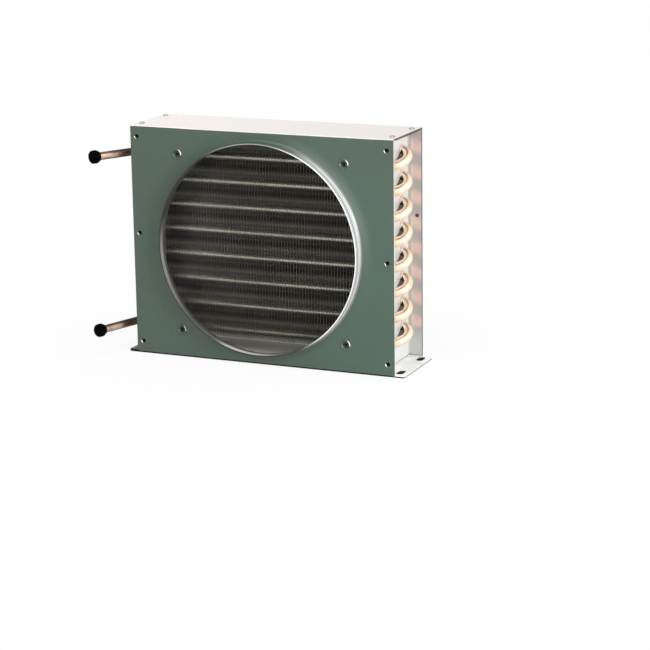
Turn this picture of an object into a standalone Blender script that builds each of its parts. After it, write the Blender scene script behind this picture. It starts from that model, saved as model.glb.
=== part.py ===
"""Finned condenser coil: two staggered rows of copper tube in a sheet-metal case.

The frame has its origin at the centre of the base plate's underside, +Z up.
The fan side faces -Y, and the open air intake faces +Y. All lengths are in metres.
"""

import math

import bmesh
import bpy
from mathutils import Vector

# Clearances between pieces that touch or pass through each other
GAP = 0.0003

# Case
CASE_WIDTH = 0.2834
CASE_DEPTH = 0.0781
CASE_HEIGHT = 0.2352
SHEET = 0.001
SHROUD_SHEET = 0.001
SIDE_RECESS = 0.0145
SEAM_FLANGE = 0.016
FOLD_RADIUS = 0.0015
FOLD_STEPS = 2
CORNER_RELIEF = 0.003

# Base plate and its foot slots
BASE_THICKNESS = 0.0025
BASE_OVERHANG = 0.0097
SHROUD_DROP = 0.0016
SLOT_WIDTH = 0.007
SLOT_LENGTH = 0.0135
SLOT_INSET = 0.00775
SLOT_SPACING = 0.0541

# Fan opening and its drawn collar; the opening fills the case between two margins
FAN_TOP_MARGIN = 0.0107
FAN_BOTTOM_MARGIN = 0.0125
COLLAR_LENGTH = 0.0123
COLLAR_ROOT = 0.002
FAN_SEGMENTS = 48

# Raised fan bracket holes, measured from the opening's edge, and the nuts in them
BRACKET_MARGIN = 0.02128
BRACKET_BORE = 0.0028
BRACKET_LIP = 0.0052
BRACKET_RISE = 0.0009
NUT_FLANGE = 0.0045
NUT_BORE = 0.0016
NUT_LENGTH = 0.0045

# Plain fixing holes of the shroud: end margins, and the middle ones' rise over half height
FIXING_RADIUS = 0.0022
FIXING_INSET = 0.0071
FIXING_BOTTOM = 0.0128
FIXING_TOP = 0.011
FIXING_MIDDLE_LEFT = 0.008
FIXING_MIDDLE_RIGHT = -0.0037
REAR_HOLE_DROP = 0.0885
REAR_HOLE_INSET = 0.0058
REAR_HOLE_RADIUS = 0.0021

# Top plate screws
SCREW_RADIUS = 0.0014
SCREW_HEAD_RADIUS = 0.0026
SCREW_HEAD_HEIGHT = 0.0014
SCREW_LENGTH = 0.006
SCREW_INSET = 0.0065
SCREW_FRONT = 0.0135
SCREW_SPACING = 0.052

# Copper circuit
TUBE_RADIUS = 0.00476
TUBE_WALL = 0.00046
TUBE_PITCH = 0.0254
ROW_PITCH = 0.022
BEND_SEAT = 0.0028
BELL_LENGTH = 0.006
BELL_SHOULDER = 0.0012
BELL_WALL = 0.0006
TUBE_SIDES = 8
BORE_SIDES = 4
BEND_STEPS = 6

# Fin pack
FIN_PITCH = 0.003175
FIN_STRIDE = 4
FIN_SHEET = 0.0004
FIN_END_SPACE = 0.0035
FIN_HOLE_SIDES = 4
FIN_SETBACK = 0.025
FIN_RISE = 0.01885
FIN_HEADROOM = 0.0105

# Connection pipes and their caps
PIPE_RADIUS = 0.004
PIPE_WALL = 0.0006
PIPE_BEND = 0.014
PIPE_TAPER = 0.003
INLET_REACH = 0.0233
INLET_FORWARD = 0.0563
INLET_SPLAY = math.radians(27.0)
OUTLET_REACH = 0.0276
OUTLET_FORWARD = 0.0605
OUTLET_SPLAY = math.radians(17.7)
CAP_RADIUS = 0.0068
CAP_SKIRT_RADIUS = 0.0053
CAP_LENGTH = 0.0115
CAP_CAVITY = 0.008

# Worked out from the sizes above
SHROUD_FACE = -CASE_DEPTH / 2
REAR_FACE = CASE_DEPTH / 2
CASE_HALF = CASE_WIDTH / 2
WEB_FACE = CASE_HALF - SIDE_RECESS
WEB_MIDDLE = WEB_FACE - SHEET / 2
PLATE_FRONT = SHROUD_FACE + SHROUD_SHEET + GAP
PLATE_BOTTOM = BASE_THICKNESS + GAP
PLATE_TOP = CASE_HEIGHT - SHEET - GAP
FRONT_ROW = SHROUD_FACE + FIN_SETBACK + ROW_PITCH / 2
REAR_ROW = FRONT_ROW + ROW_PITCH
FIN_DEPTH = 2 * ROW_PITCH
TUBES_PER_ROW = int((CASE_HEIGHT - FIN_RISE - FIN_HEADROOM) / TUBE_PITCH)
FIN_HEIGHT = TUBES_PER_ROW * TUBE_PITCH
BEND_RADIUS = math.hypot(ROW_PITCH, TUBE_PITCH / 2) / 2
BEND_CENTRE = WEB_FACE - BEND_SEAT
RETURN_BEND_RADIUS = TUBE_PITCH / 2
SOCKET_RADIUS = (TUBE_RADIUS + GAP) / math.cos(math.pi / TUBE_SIDES)
BELL_RADIUS = SOCKET_RADIUS + BELL_WALL
BELL_MOUTH = WEB_FACE + BELL_LENGTH + BELL_SHOULDER + GAP
FAN_RADIUS = (CASE_HEIGHT - FAN_TOP_MARGIN - FAN_BOTTOM_MARGIN) / 2
FAN_HEIGHT = FAN_BOTTOM_MARGIN + FAN_RADIUS
BRACKET_SPACING = math.sqrt(2) * (FAN_RADIUS + BRACKET_MARGIN)
FIXING_X = CASE_HALF - FIXING_INSET


def web_hole_radius():
    """Radius that clears a hairpin where its bend already leans inside the web."""
    lean = math.asin(BEND_SEAT / BEND_RADIUS)
    shift = BEND_RADIUS * (1 - math.cos(lean))
    return TUBE_RADIUS / math.cos(lean) + shift + GAP


def circumscribed(radius, sides):
    """Corner radius of a regular polygon whose flats lie at the given radius."""
    return radius / math.cos(math.pi / sides)


def tube_height(index, row):
    """Height of tube 0, 1, 2 ... from the top in the front (0) or rear (1) row."""
    lowest = FIN_RISE + TUBE_PITCH / 4 + row * TUBE_PITCH / 2
    return lowest + (TUBES_PER_ROW - 1 - index) * TUBE_PITCH


def row_depth(row):
    """Y of a tube row."""
    return REAR_ROW if row else FRONT_ROW


def clear_scene():
    """Remove every object, mesh and material that the file holds."""
    for old in list(bpy.data.objects):
        bpy.data.objects.remove(old, do_unlink=True)
    for store in (bpy.data.meshes, bpy.data.materials):
        for block in list(store):
            store.remove(block)


def make_material(name, colour, roughness, metallic):
    """Plain Principled material."""
    material = bpy.data.materials.new(name)
    material.use_nodes = True
    shader = material.node_tree.nodes["Principled BSDF"]
    shader.inputs["Base Color"].default_value = (*colour, 1.0)
    shader.inputs["Roughness"].default_value = roughness
    shader.inputs["Metallic"].default_value = metallic
    material.diffuse_color = (*colour, 1.0)
    return material


def make_materials():
    """One material for each finish."""
    return {
        "paint": make_material("shroud_paint", (0.11, 0.16, 0.13), 0.42, 0.0),
        "galvanised": make_material("galvanised_sheet", (0.74, 0.74, 0.75), 0.32, 0.9),
        "aluminium": make_material("fin_aluminium", (0.55, 0.55, 0.54), 0.38, 0.9),
        "copper": make_material("tube_copper", (0.78, 0.40, 0.24), 0.25, 1.0),
        "rubber": make_material("cap_rubber", (0.012, 0.012, 0.013), 0.6, 0.0),
        "steel": make_material("zinc_steel", (0.62, 0.62, 0.60), 0.3, 1.0),
    }


def link_mesh(name, mesh, material):
    """Put a mesh in the scene as one named object."""
    obj = bpy.data.objects.new(name, mesh)
    bpy.context.scene.collection.objects.link(obj)
    if not mesh.materials:
        mesh.materials.append(material)
    return obj


def finish_mesh(name, bm, smooth_angle=math.radians(40)):
    """Turn a bmesh into a mesh with outward faces and smooth round parts."""
    bmesh.ops.recalc_face_normals(bm, faces=bm.faces)
    mesh = bpy.data.meshes.new(name)
    bm.to_mesh(mesh)
    bm.free()
    mesh.shade_smooth()
    mesh.set_sharp_from_angle(angle=smooth_angle)
    return mesh


def circle(u, v, radius, sides, depth, turn=0.0):
    """Points of a regular polygon in a sheet's own (u, v, depth) coordinates."""
    step = 2 * math.pi / sides
    return [
        (u + radius * math.cos(turn + step * i), v + radius * math.sin(turn + step * i), depth)
        for i in range(sides)
    ]


def slot(u, v, width, length, depth, steps=4):
    """Points of a round-ended slot that is long along v."""
    radius = width / 2
    reach = length / 2 - radius
    points = []
    for end, start in ((reach, 0.0), (-reach, math.pi)):
        for i in range(steps + 1):
            angle = start + math.pi * i / steps
            points.append((u + radius * math.cos(angle), v + end + radius * math.sin(angle), depth))
    return points


def rectangle(u0, v0, u1, v1, depth):
    """Four corners of a rectangular outline."""
    return [(u0, v0, depth), (u1, v0, depth), (u1, v1, depth), (u0, v1, depth)]


def bridge(bm, loops):
    """Join successive closed loops of vertices with quads."""
    for first, second in zip(loops, loops[1:]):
        count = len(first)
        for i in range(count):
            j = (i + 1) % count
            bm.faces.new((first[i], first[j], second[j], second[i]))


def fill(bm, loops):
    """Fill a flat outline with holes."""
    edges = []
    for loop in loops:
        for i, vertex in enumerate(loop):
            following = loop[(i + 1) % len(loop)]
            edges.append(bm.edges.get((vertex, following)) or bm.edges.new((vertex, following)))
    bmesh.ops.triangle_fill(bm, use_beauty=True, use_dissolve=False, edges=edges)


def pressed_sheet(name, features, place):
    """Closed sheet part from its outline and its pierced or drawn features.

    Each feature is a list of rings that runs from the front face of the sheet to
    its back face. The first feature is the outer edge.
    """
    bm = bmesh.new()
    fronts = []
    backs = []
    for rings in features:
        loops = [[bm.verts.new(place(*point)) for point in ring] for ring in rings]
        bridge(bm, loops)
        fronts.append(loops[0])
        backs.append(loops[-1])
    fill(bm, fronts)
    fill(bm, backs)
    return finish_mesh(name, bm)


def pierced(make_ring, thickness):
    """Feature that goes straight through a sheet."""
    return [make_ring(0.0), make_ring(thickness)]


def facing_front(offset):
    """Sheet that faces -Y: u is X, v is Z and depth goes to the rear."""
    return lambda u, v, depth: (u, offset + depth, v)


def facing_up(top):
    """Sheet that faces +Z: u is X, v is Y and depth goes down."""
    return lambda u, v, depth: (u, v, top - depth)


def facing_side(offset):
    """Sheet that faces along X: u is Y, v is Z and depth goes to +X."""
    return lambda u, v, depth: (offset + depth, u, v)


def fan_collar(sides):
    """Rings of the drawn collar, from the front face over the rim to the back."""
    steps = 3
    outer = FAN_RADIUS + SHROUD_SHEET
    rings = []
    for i in range(steps):
        angle = math.pi / 2 * i / (steps - 1)
        radius = outer + COLLAR_ROOT * (1 - math.sin(angle))
        rings.append((radius, -COLLAR_ROOT * (1 - math.cos(angle))))
    rings += [(outer, -COLLAR_LENGTH), (FAN_RADIUS, -COLLAR_LENGTH)]
    bend = COLLAR_ROOT + SHROUD_SHEET
    for i in range(steps):
        angle = math.pi / 2 * i / (steps - 1)
        radius = FAN_RADIUS + bend * (1 - math.cos(angle))
        rings.append((radius, SHROUD_SHEET - bend * (1 - math.sin(angle))))
    return [circle(0.0, FAN_HEIGHT, radius, sides, depth) for radius, depth in rings]


def raised_hole(u, v, sides=10):
    """Hole whose edge stands a little proud of the front face."""
    crest = (BRACKET_BORE + BRACKET_LIP) / 2
    profile = (
        (BRACKET_LIP, 0.0),
        (crest, -BRACKET_RISE),
        (BRACKET_BORE, -BRACKET_RISE * 0.6),
        (BRACKET_BORE, SHROUD_SHEET),
    )
    return [circle(u, v, radius, sides, depth) for radius, depth in profile]


def bracket_points():
    """Centres (x, z) of the four fan bracket holes."""
    half = BRACKET_SPACING / 2
    return [(x, FAN_HEIGHT + z) for x in (-half, half) for z in (-half, half)]


def fixing_points(side):
    """Centres (x, z) of the fixing holes on the left (-1) or right (1) side."""
    shift = FIXING_MIDDLE_RIGHT if side > 0 else FIXING_MIDDLE_LEFT
    heights = (FIXING_BOTTOM, CASE_HEIGHT / 2 + shift, CASE_HEIGHT - FIXING_TOP)
    return [(side * FIXING_X, height) for height in heights]


def screw_points():
    """Centres (x, y) of the top plate's screws."""
    front = SHROUD_FACE + SCREW_FRONT
    x = CASE_HALF - SCREW_INSET
    return [(side * x, y) for side in (-1, 1) for y in (front, front + SCREW_SPACING)]


def build_shroud(material):
    """Painted front sheet with the fan opening."""
    top = PLATE_TOP
    features = [
        pierced(lambda d: rectangle(-CASE_HALF, SHROUD_DROP, CASE_HALF, top, d), SHROUD_SHEET),
        fan_collar(FAN_SEGMENTS),
    ]
    features += [raised_hole(x, z) for x, z in bracket_points()]
    for side in (-1, 1):
        for x, z in fixing_points(side):
            features.append(pierced(lambda d: circle(x, z, FIXING_RADIUS, 8, d), SHROUD_SHEET))
    mesh = pressed_sheet("fan_shroud", features, facing_front(SHROUD_FACE))
    return link_mesh("fan_shroud", mesh, material)


def build_top_plate(material):
    """Flat cover over both end plates and the shroud's upper edge."""
    hole = SCREW_RADIUS + GAP
    features = [
        pierced(lambda d: rectangle(-CASE_HALF, SHROUD_FACE, CASE_HALF, REAR_FACE, d), SHEET)
    ]
    for x, y in screw_points():
        features.append(pierced(lambda d: circle(x, y, circumscribed(hole, 8), 8, d), SHEET))
    mesh = pressed_sheet("top_plate", features, facing_up(CASE_HEIGHT))
    return link_mesh("top_plate", mesh, material)


def build_base_plate(material):
    """Base sheet that stands out past the case as two slotted feet."""
    half = CASE_HALF + BASE_OVERHANG
    slot_x = half - SLOT_INSET
    features = [
        pierced(lambda d: rectangle(-half, PLATE_FRONT, half, REAR_FACE, d), BASE_THICKNESS)
    ]
    for x in (-slot_x, slot_x):
        for y in (-SLOT_SPACING / 2, SLOT_SPACING / 2):
            features.append(
                pierced(lambda d: slot(x, y, SLOT_WIDTH, SLOT_LENGTH, d), BASE_THICKNESS)
            )
    mesh = pressed_sheet("base_plate", features, facing_up(BASE_THICKNESS))
    return link_mesh("base_plate", mesh, material)


def folded_channel(name, side):
    """Middle surface of an end plate: a web with four flanges on rounded folds."""
    front = PLATE_FRONT + SHEET / 2
    rear = REAR_FACE - SHEET / 2
    low = PLATE_BOTTOM + SHEET / 2
    high = PLATE_TOP - SHEET / 2
    out = CASE_HALF - GAP
    inward = WEB_MIDDLE - SEAM_FLANGE
    relief = CORNER_RELIEF
    sides = (
        ((front, low + relief), (front, high - relief), (-1, 0), out),
        ((front + relief, high), (rear - relief, high), (0, 1), out),
        ((rear, high - relief), (rear, low + relief), (1, 0), out),
        ((rear - relief, low), (front + relief, low), (0, -1), inward),
    )
    bm = bmesh.new()
    web = []
    for start, end, away, reach in sides:
        rows = []
        for x, shift in fold_section(reach):
            rows.append([
                bm.verts.new((side * x, y + away[0] * shift, z + away[1] * shift))
                for y, z in (start, end)
            ])
        for first, second in zip(rows, rows[1:]):
            bm.faces.new((*first, *reversed(second)))
        web += rows[0]
    bm.faces.new(web)
    return finish_mesh(name, bm)


def fold_section(reach):
    """Points (x, shift) across a fold, from the web to the flange's free edge."""
    sense = 1 if reach > WEB_MIDDLE else -1
    points = []
    for i in range(FOLD_STEPS + 1):
        angle = math.pi / 2 * i / FOLD_STEPS
        x = WEB_MIDDLE + sense * FOLD_RADIUS * (1 - math.cos(angle))
        points.append((x, FOLD_RADIUS * (math.sin(angle) - 1)))
    return points + [(reach, 0.0)]


def cylinder_cutter(name, holes):
    """One hidden tool with a cylinder for each (start, end, radius, sides) hole."""
    bm = bmesh.new()
    for start, end, radius, sides in holes:
        axis = (end - start).normalized()
        across = axis.orthogonal().normalized()
        if abs(axis.x) > 0.5:
            across = Vector((0.0, 1.0, 0.0))
        up = axis.cross(across)
        loops = []
        for centre in (start, end):
            turn = 2 * math.pi / sides
            corners = [
                centre + radius * (math.cos(turn * i) * across + math.sin(turn * i) * up)
                for i in range(sides)
            ]
            loops.append([bm.verts.new(corner) for corner in corners])
        bridge(bm, loops)
        for loop in loops:
            bm.faces.new(loop)
    cutter = link_mesh(name, finish_mesh(name, bm), None)
    cutter.hide_render = True
    cutter.display_type = "WIRE"
    return cutter


def channel_holes(side):
    """Tube, fixing, screw and rear holes of one end plate."""
    reach = 2 * FOLD_RADIUS + SHEET
    holes = []
    radius = circumscribed(web_hole_radius(), 8)
    for row in (0, 1):
        for index in range(TUBES_PER_ROW):
            y, z = row_depth(row), tube_height(index, row)
            start = Vector((side * (WEB_MIDDLE - reach), y, z))
            end = Vector((side * (WEB_MIDDLE + reach), y, z))
            holes.append((start, end, radius, 8))
    for x, z in fixing_points(side):
        start = Vector((x, PLATE_FRONT - reach, z))
        holes.append((start, start + Vector((0, 2 * reach, 0)), FIXING_RADIUS, 8))
    for x, y in screw_points():
        if x * side > 0:
            start = Vector((x, y, PLATE_TOP - reach))
            hole = circumscribed(SCREW_RADIUS + GAP, 8)
            holes.append((start, start + Vector((0, 0, 2 * reach)), hole, 8))
    rear_x = side * (CASE_HALF - REAR_HOLE_INSET)
    start = Vector((rear_x, REAR_FACE - reach, CASE_HEIGHT - REAR_HOLE_DROP))
    holes.append((start, start + Vector((0, 2 * reach, 0)), REAR_HOLE_RADIUS, 8))
    return holes


def build_end_plate(name, side, material):
    """Folded end plate that carries the tubes."""
    plate = link_mesh(name, folded_channel(name, side), material)
    thicken = plate.modifiers.new("sheet", "SOLIDIFY")
    thicken.thickness = SHEET
    thicken.offset = 0.0
    thicken.use_even_offset = True
    pierce = plate.modifiers.new("holes", "BOOLEAN")
    pierce.operation = "DIFFERENCE"
    pierce.object = cylinder_cutter(name + "_cutter", channel_holes(side))
    return plate


def fin_count():
    """Number of fins between the two end plates."""
    inside = 2 * (WEB_FACE - SHEET - FIN_END_SPACE)
    return int(inside / FIN_PITCH) + 1


def build_fins(material):
    """Plate fins on the tubes; one in FIN_STRIDE of the pack is modelled."""
    front = FRONT_ROW - ROW_PITCH / 2
    radius = circumscribed(TUBE_RADIUS + GAP, FIN_HOLE_SIDES)
    turn = math.pi / FIN_HOLE_SIDES
    outline = (front, FIN_RISE, front + FIN_DEPTH, FIN_RISE + FIN_HEIGHT)
    features = [pierced(lambda d: rectangle(*outline, d), FIN_SHEET)]
    for row in (0, 1):
        for index in range(TUBES_PER_ROW):
            hole = (row_depth(row), tube_height(index, row), radius, FIN_HOLE_SIDES)
            features.append(pierced(lambda d: circle(*hole, d, turn), FIN_SHEET))
    mesh = pressed_sheet("fin_plate", features, facing_side(-FIN_SHEET / 2))
    modelled = (fin_count() - 1) // FIN_STRIDE + 1
    spacing = FIN_PITCH * FIN_STRIDE
    for index in range(modelled):
        fin = link_mesh(f"fin_plate_{index + 1:02d}", mesh, material)
        fin.location.x = (index - (modelled - 1) / 2) * spacing


def rounded_route(corners, radius, steps):
    """Points and directions along a polyline whose corners are arcs.

    Returns a list of (point, direction), with the arc points of every corner.
    """
    corners = [Vector(corner) for corner in corners]
    route = [(corners[0], (corners[1] - corners[0]).normalized())]
    for before, corner, after in zip(corners, corners[1:], corners[2:]):
        arriving = (corner - before).normalized()
        leaving = (after - corner).normalized()
        turn = arriving.angle(leaving)
        start = corner - arriving * (radius * math.tan(turn / 2))
        inward = (leaving - arriving * arriving.dot(leaving)).normalized()
        centre = start + inward * radius
        for i in range(steps + 1):
            angle = turn * i / steps
            point = centre - inward * (radius * math.cos(angle)) + arriving * (radius * math.sin(angle))
            direction = arriving * math.cos(angle) + inward * math.sin(angle)
            if (point - route[-1][0]).length > GAP:
                route.append((point, direction))
    route.append((corners[-1], (corners[-1] - corners[-2]).normalized()))
    return route


def tube_mesh(name, stations, normal, bore_sides=BORE_SIDES):
    """Hollow tube through (point, direction, outer radius, bore radius) stations.

    The route lies in a plane with the given normal. The bore's sides divide the
    outer sides evenly, so each of its corners faces one outer corner.
    """
    bm = bmesh.new()
    skins = []
    for sides, which in ((TUBE_SIDES, 2), (bore_sides, 3)):
        loops = []
        for station in stations:
            point, direction, radius = station[0], station[1], station[which]
            across = direction.cross(normal)
            turn = 2 * math.pi / sides
            corners = [
                point + radius * (math.cos(turn * i) * normal + math.sin(turn * i) * across)
                for i in range(sides)
            ]
            loops.append([bm.verts.new(corner) for corner in corners])
        bridge(bm, loops)
        skins.append(loops)
    ratio = TUBE_SIDES // bore_sides
    for end in (0, -1):
        outer, inner = skins[0][end], skins[1][end]
        for i in range(bore_sides):
            j = (i + 1) % bore_sides
            arc = [outer[(i * ratio + k) % TUBE_SIDES] for k in range(ratio + 1)]
            bm.faces.new(arc + [inner[j], inner[i]])
    return finish_mesh(name, bm)


def build_hairpins(material):
    """One hairpin for each pair of tubes, its U-bend outside the right end plate."""
    bore = TUBE_RADIUS - TUBE_WALL
    mouth = -(WEB_FACE + BELL_SHOULDER + BELL_LENGTH)
    root = -(WEB_FACE + BELL_SHOULDER)
    apex = BEND_CENTRE + BEND_RADIUS
    along = Vector((1.0, 0.0, 0.0))
    for index in range(TUBES_PER_ROW):
        low = Vector((0.0, FRONT_ROW, tube_height(index, 0)))
        high = Vector((0.0, REAR_ROW, tube_height(index, 1)))
        corners = (
            low + along * -WEB_FACE,
            low + along * apex,
            high + along * apex,
            high + along * -WEB_FACE,
        )
        route = rounded_route(corners, BEND_RADIUS, BEND_STEPS // 2)
        stations = [
            (low + along * mouth, along, BELL_RADIUS, SOCKET_RADIUS),
            (low + along * root, along, BELL_RADIUS, SOCKET_RADIUS),
        ]
        stations += [(point, direction, TUBE_RADIUS, bore) for point, direction in route]
        stations += [
            (high + along * root, -along, BELL_RADIUS, SOCKET_RADIUS),
            (high + along * mouth, -along, BELL_RADIUS, SOCKET_RADIUS),
        ]
        normal = along.cross(high - low).normalized()
        name = f"hairpin_{index + 1}"
        link_mesh(name, tube_mesh(name, stations, normal, TUBE_SIDES), material)


def build_return_bends(material):
    """Bends that join the hairpins on the left, by turns in the rear and front row."""
    bore = TUBE_RADIUS - TUBE_WALL
    inserted = -(WEB_FACE + BELL_SHOULDER + GAP)
    apex = -(BELL_MOUTH + RETURN_BEND_RADIUS)
    for index in range(TUBES_PER_ROW - 1):
        row = 1 - index % 2
        y = row_depth(row)
        upper, lower = tube_height(index, row), tube_height(index + 1, row)
        corners = (
            (inserted, y, upper),
            (apex, y, upper),
            (apex, y, lower),
            (inserted, y, lower),
        )
        route = rounded_route(corners, RETURN_BEND_RADIUS, BEND_STEPS // 2)
        stations = [(point, direction, TUBE_RADIUS, bore) for point, direction in route]
        name = f"return_bend_{index + 1}"
        link_mesh(name, tube_mesh(name, stations, Vector((0.0, 1.0, 0.0))), material)


def pipe_corners(index, row, reach, forward, splay):
    """Corners of a connection pipe, from its socket to its free end."""
    y, z = row_depth(row), tube_height(index, row)
    inserted = -(WEB_FACE + BELL_SHOULDER + GAP)
    corner = Vector((-(WEB_FACE + reach), y, z))
    heading = Vector((-math.sin(splay), -math.cos(splay), 0.0))
    return Vector((inserted, y, z)), corner, corner + heading * forward


def build_pipe(name, corners, material):
    """Connection pipe: swaged up to tube size in the socket, then bent forward."""
    start, corner, end = corners
    swage_end = start + Vector((-(BELL_LENGTH + 2 * GAP), 0.0, 0.0))
    taper_end = swage_end + Vector((-PIPE_TAPER, 0.0, 0.0))
    route = rounded_route((taper_end, corner, end), PIPE_BEND, BEND_STEPS // 2 + 1)
    out = Vector((-1.0, 0.0, 0.0))
    stations = [
        (start, out, TUBE_RADIUS, TUBE_RADIUS - PIPE_WALL),
        (swage_end, out, TUBE_RADIUS, TUBE_RADIUS - PIPE_WALL),
    ]
    stations += [
        (point, direction, PIPE_RADIUS, PIPE_RADIUS - PIPE_WALL) for point, direction in route
    ]
    mesh = tube_mesh(name, stations, Vector((0.0, 0.0, 1.0)))
    return link_mesh(name, mesh, material)


def turned_mesh(name, axis, profile, sides):
    """Turned solid about an axis through the origin, from (radius, along) points.

    A profile point with radius 0 closes the body on its axis, and a profile that
    starts and ends off the axis makes a ring.
    """
    bm = bmesh.new()
    across = axis.orthogonal().normalized()
    up = axis.cross(across)
    turn = 2 * math.pi / sides
    loops = []
    for radius, along in profile:
        centre = axis * along
        if radius == 0.0:
            loops.append([bm.verts.new(centre)])
            continue
        corners = [
            centre + radius * (math.cos(turn * i) * across + math.sin(turn * i) * up)
            for i in range(sides)
        ]
        loops.append([bm.verts.new(corner) for corner in corners])
    if len(loops[0]) > 1:
        loops.append(loops[0])
    for first, second in zip(loops, loops[1:]):
        if len(first) == 1 or len(second) == 1:
            tip, rim = (first[0], second) if len(first) == 1 else (second[0], first)
            for i in range(sides):
                bm.faces.new((tip, rim[i], rim[(i + 1) % sides]))
        else:
            bridge(bm, [first, second])
    return finish_mesh(name, bm)


def build_cap(name, corners, material):
    """Rubber cap with a beaded end over the free end of a pipe."""
    end = corners[2]
    axis = (corners[2] - corners[1]).normalized()
    base = end - axis * (CAP_CAVITY - GAP)
    cavity = circumscribed(PIPE_RADIUS + GAP, 12)
    edge = CAP_RADIUS - CAP_SKIRT_RADIUS
    profile = (
        (0.0, CAP_LENGTH),
        (CAP_RADIUS - edge / 2, CAP_LENGTH),
        (CAP_RADIUS, CAP_LENGTH - edge),
        (CAP_RADIUS, CAP_LENGTH * 0.42),
        (CAP_RADIUS - edge / 2, CAP_LENGTH * 0.3),
        (CAP_SKIRT_RADIUS, 0.0),
        (cavity, 0.0),
        (cavity, CAP_CAVITY),
        (0.0, CAP_CAVITY),
    )
    cap = link_mesh(name, turned_mesh(name, axis, profile, 12), material)
    cap.location = base
    return cap


def build_connections(copper, rubber):
    """Inlet at the top and outlet at the bottom, both from the front row.

    With an odd number of tubes in a row the circuit ends in the rear row.
    """
    last, last_row = TUBES_PER_ROW - 1, TUBES_PER_ROW % 2
    routes = {
        "inlet": pipe_corners(0, 0, INLET_REACH, INLET_FORWARD, INLET_SPLAY),
        "outlet": pipe_corners(last, last_row, OUTLET_REACH, OUTLET_FORWARD, OUTLET_SPLAY),
    }
    for name, corners in routes.items():
        build_pipe(f"{name}_pipe", corners, copper)
        build_cap(f"{name}_cap", corners, rubber)


def build_screws(material):
    """Four pan-head screws that hold the top plate."""
    down = Vector((0.0, 0.0, -1.0))
    crown = -(SCREW_HEAD_HEIGHT + GAP)
    profile = (
        (0.0, crown),
        (SCREW_HEAD_RADIUS * 0.6, crown * 0.92),
        (SCREW_HEAD_RADIUS, crown * 0.55),
        (SCREW_HEAD_RADIUS, -GAP),
        (SCREW_RADIUS, -GAP),
        (SCREW_RADIUS, SCREW_LENGTH - SCREW_RADIUS),
        (0.0, SCREW_LENGTH),
    )
    mesh = turned_mesh("top_screw", down, profile, 8)
    for number, (x, y) in enumerate(screw_points(), start=1):
        screw = link_mesh(f"top_screw_{number}", mesh, material)
        screw.location = (x, y, CASE_HEIGHT)


def build_fixing_nuts(material):
    """Clinch nuts behind the four raised holes, for the fan bracket's screws."""
    rearward = Vector((0.0, 1.0, 0.0))
    shank = BRACKET_BORE - GAP
    shoulder = SHROUD_SHEET + GAP
    profile = (
        (NUT_BORE, GAP),
        (shank, GAP),
        (shank, shoulder),
        (NUT_FLANGE, shoulder),
        (NUT_FLANGE, NUT_LENGTH),
        (NUT_BORE, NUT_LENGTH),
    )
    mesh = turned_mesh("fan_fixing_nut", rearward, profile, 8)
    for number, (x, z) in enumerate(bracket_points(), start=1):
        nut = link_mesh(f"fan_fixing_nut_{number}", mesh, material)
        nut.location = (x, SHROUD_FACE, z)


def main():
    """Build every piece of the coil."""
    clear_scene()
    finishes = make_materials()
    build_shroud(finishes["paint"])
    build_end_plate("end_plate_left", -1, finishes["galvanised"])
    build_end_plate("end_plate_right", 1, finishes["galvanised"])
    build_top_plate(finishes["galvanised"])
    build_base_plate(finishes["galvanised"])
    build_fins(finishes["aluminium"])
    build_hairpins(finishes["copper"])
    build_return_bends(finishes["copper"])
    build_connections(finishes["copper"], finishes["rubber"])
    build_screws(finishes["steel"])
    build_fixing_nuts(finishes["steel"])


main()
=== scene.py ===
"""Dressed model of an air-cooled finned condenser coil in a sheet-metal case.

Two staggered rows of copper tube run through a pack of thin aluminium fins, between
two galvanised end plates. A painted sheet with a collared fan opening closes the fan
side. All lengths are in metres, +Z is up and the fan side faces -Y.
"""

import logging
import math
from collections.abc import Callable, Iterator, Sequence
from contextlib import contextmanager
from dataclasses import dataclass, field
from enum import Enum

import bmesh
import bpy
from mathutils import Euler, Matrix, Vector


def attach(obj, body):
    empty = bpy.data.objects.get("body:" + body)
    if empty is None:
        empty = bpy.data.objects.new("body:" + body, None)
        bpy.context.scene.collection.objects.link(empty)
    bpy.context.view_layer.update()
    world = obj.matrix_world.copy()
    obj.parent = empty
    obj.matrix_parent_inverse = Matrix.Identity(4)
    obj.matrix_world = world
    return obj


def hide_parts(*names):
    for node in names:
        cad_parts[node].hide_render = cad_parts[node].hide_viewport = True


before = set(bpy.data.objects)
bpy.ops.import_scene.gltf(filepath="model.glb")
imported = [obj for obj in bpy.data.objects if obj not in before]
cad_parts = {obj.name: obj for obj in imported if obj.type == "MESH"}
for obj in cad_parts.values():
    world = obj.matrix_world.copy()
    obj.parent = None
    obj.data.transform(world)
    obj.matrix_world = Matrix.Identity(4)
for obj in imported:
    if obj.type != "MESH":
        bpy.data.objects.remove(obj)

LOG = logging.getLogger("coil")
BODY = "root"
MERGE_DISTANCE = 1e-6
PICK_DISTANCE = 1e-5  # how near to a place a point counts as on it

Colour = tuple[float, float, float]
Place = Callable[[Vector], bool]


# ---------------------------------------------------------------- shader graphs


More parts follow.
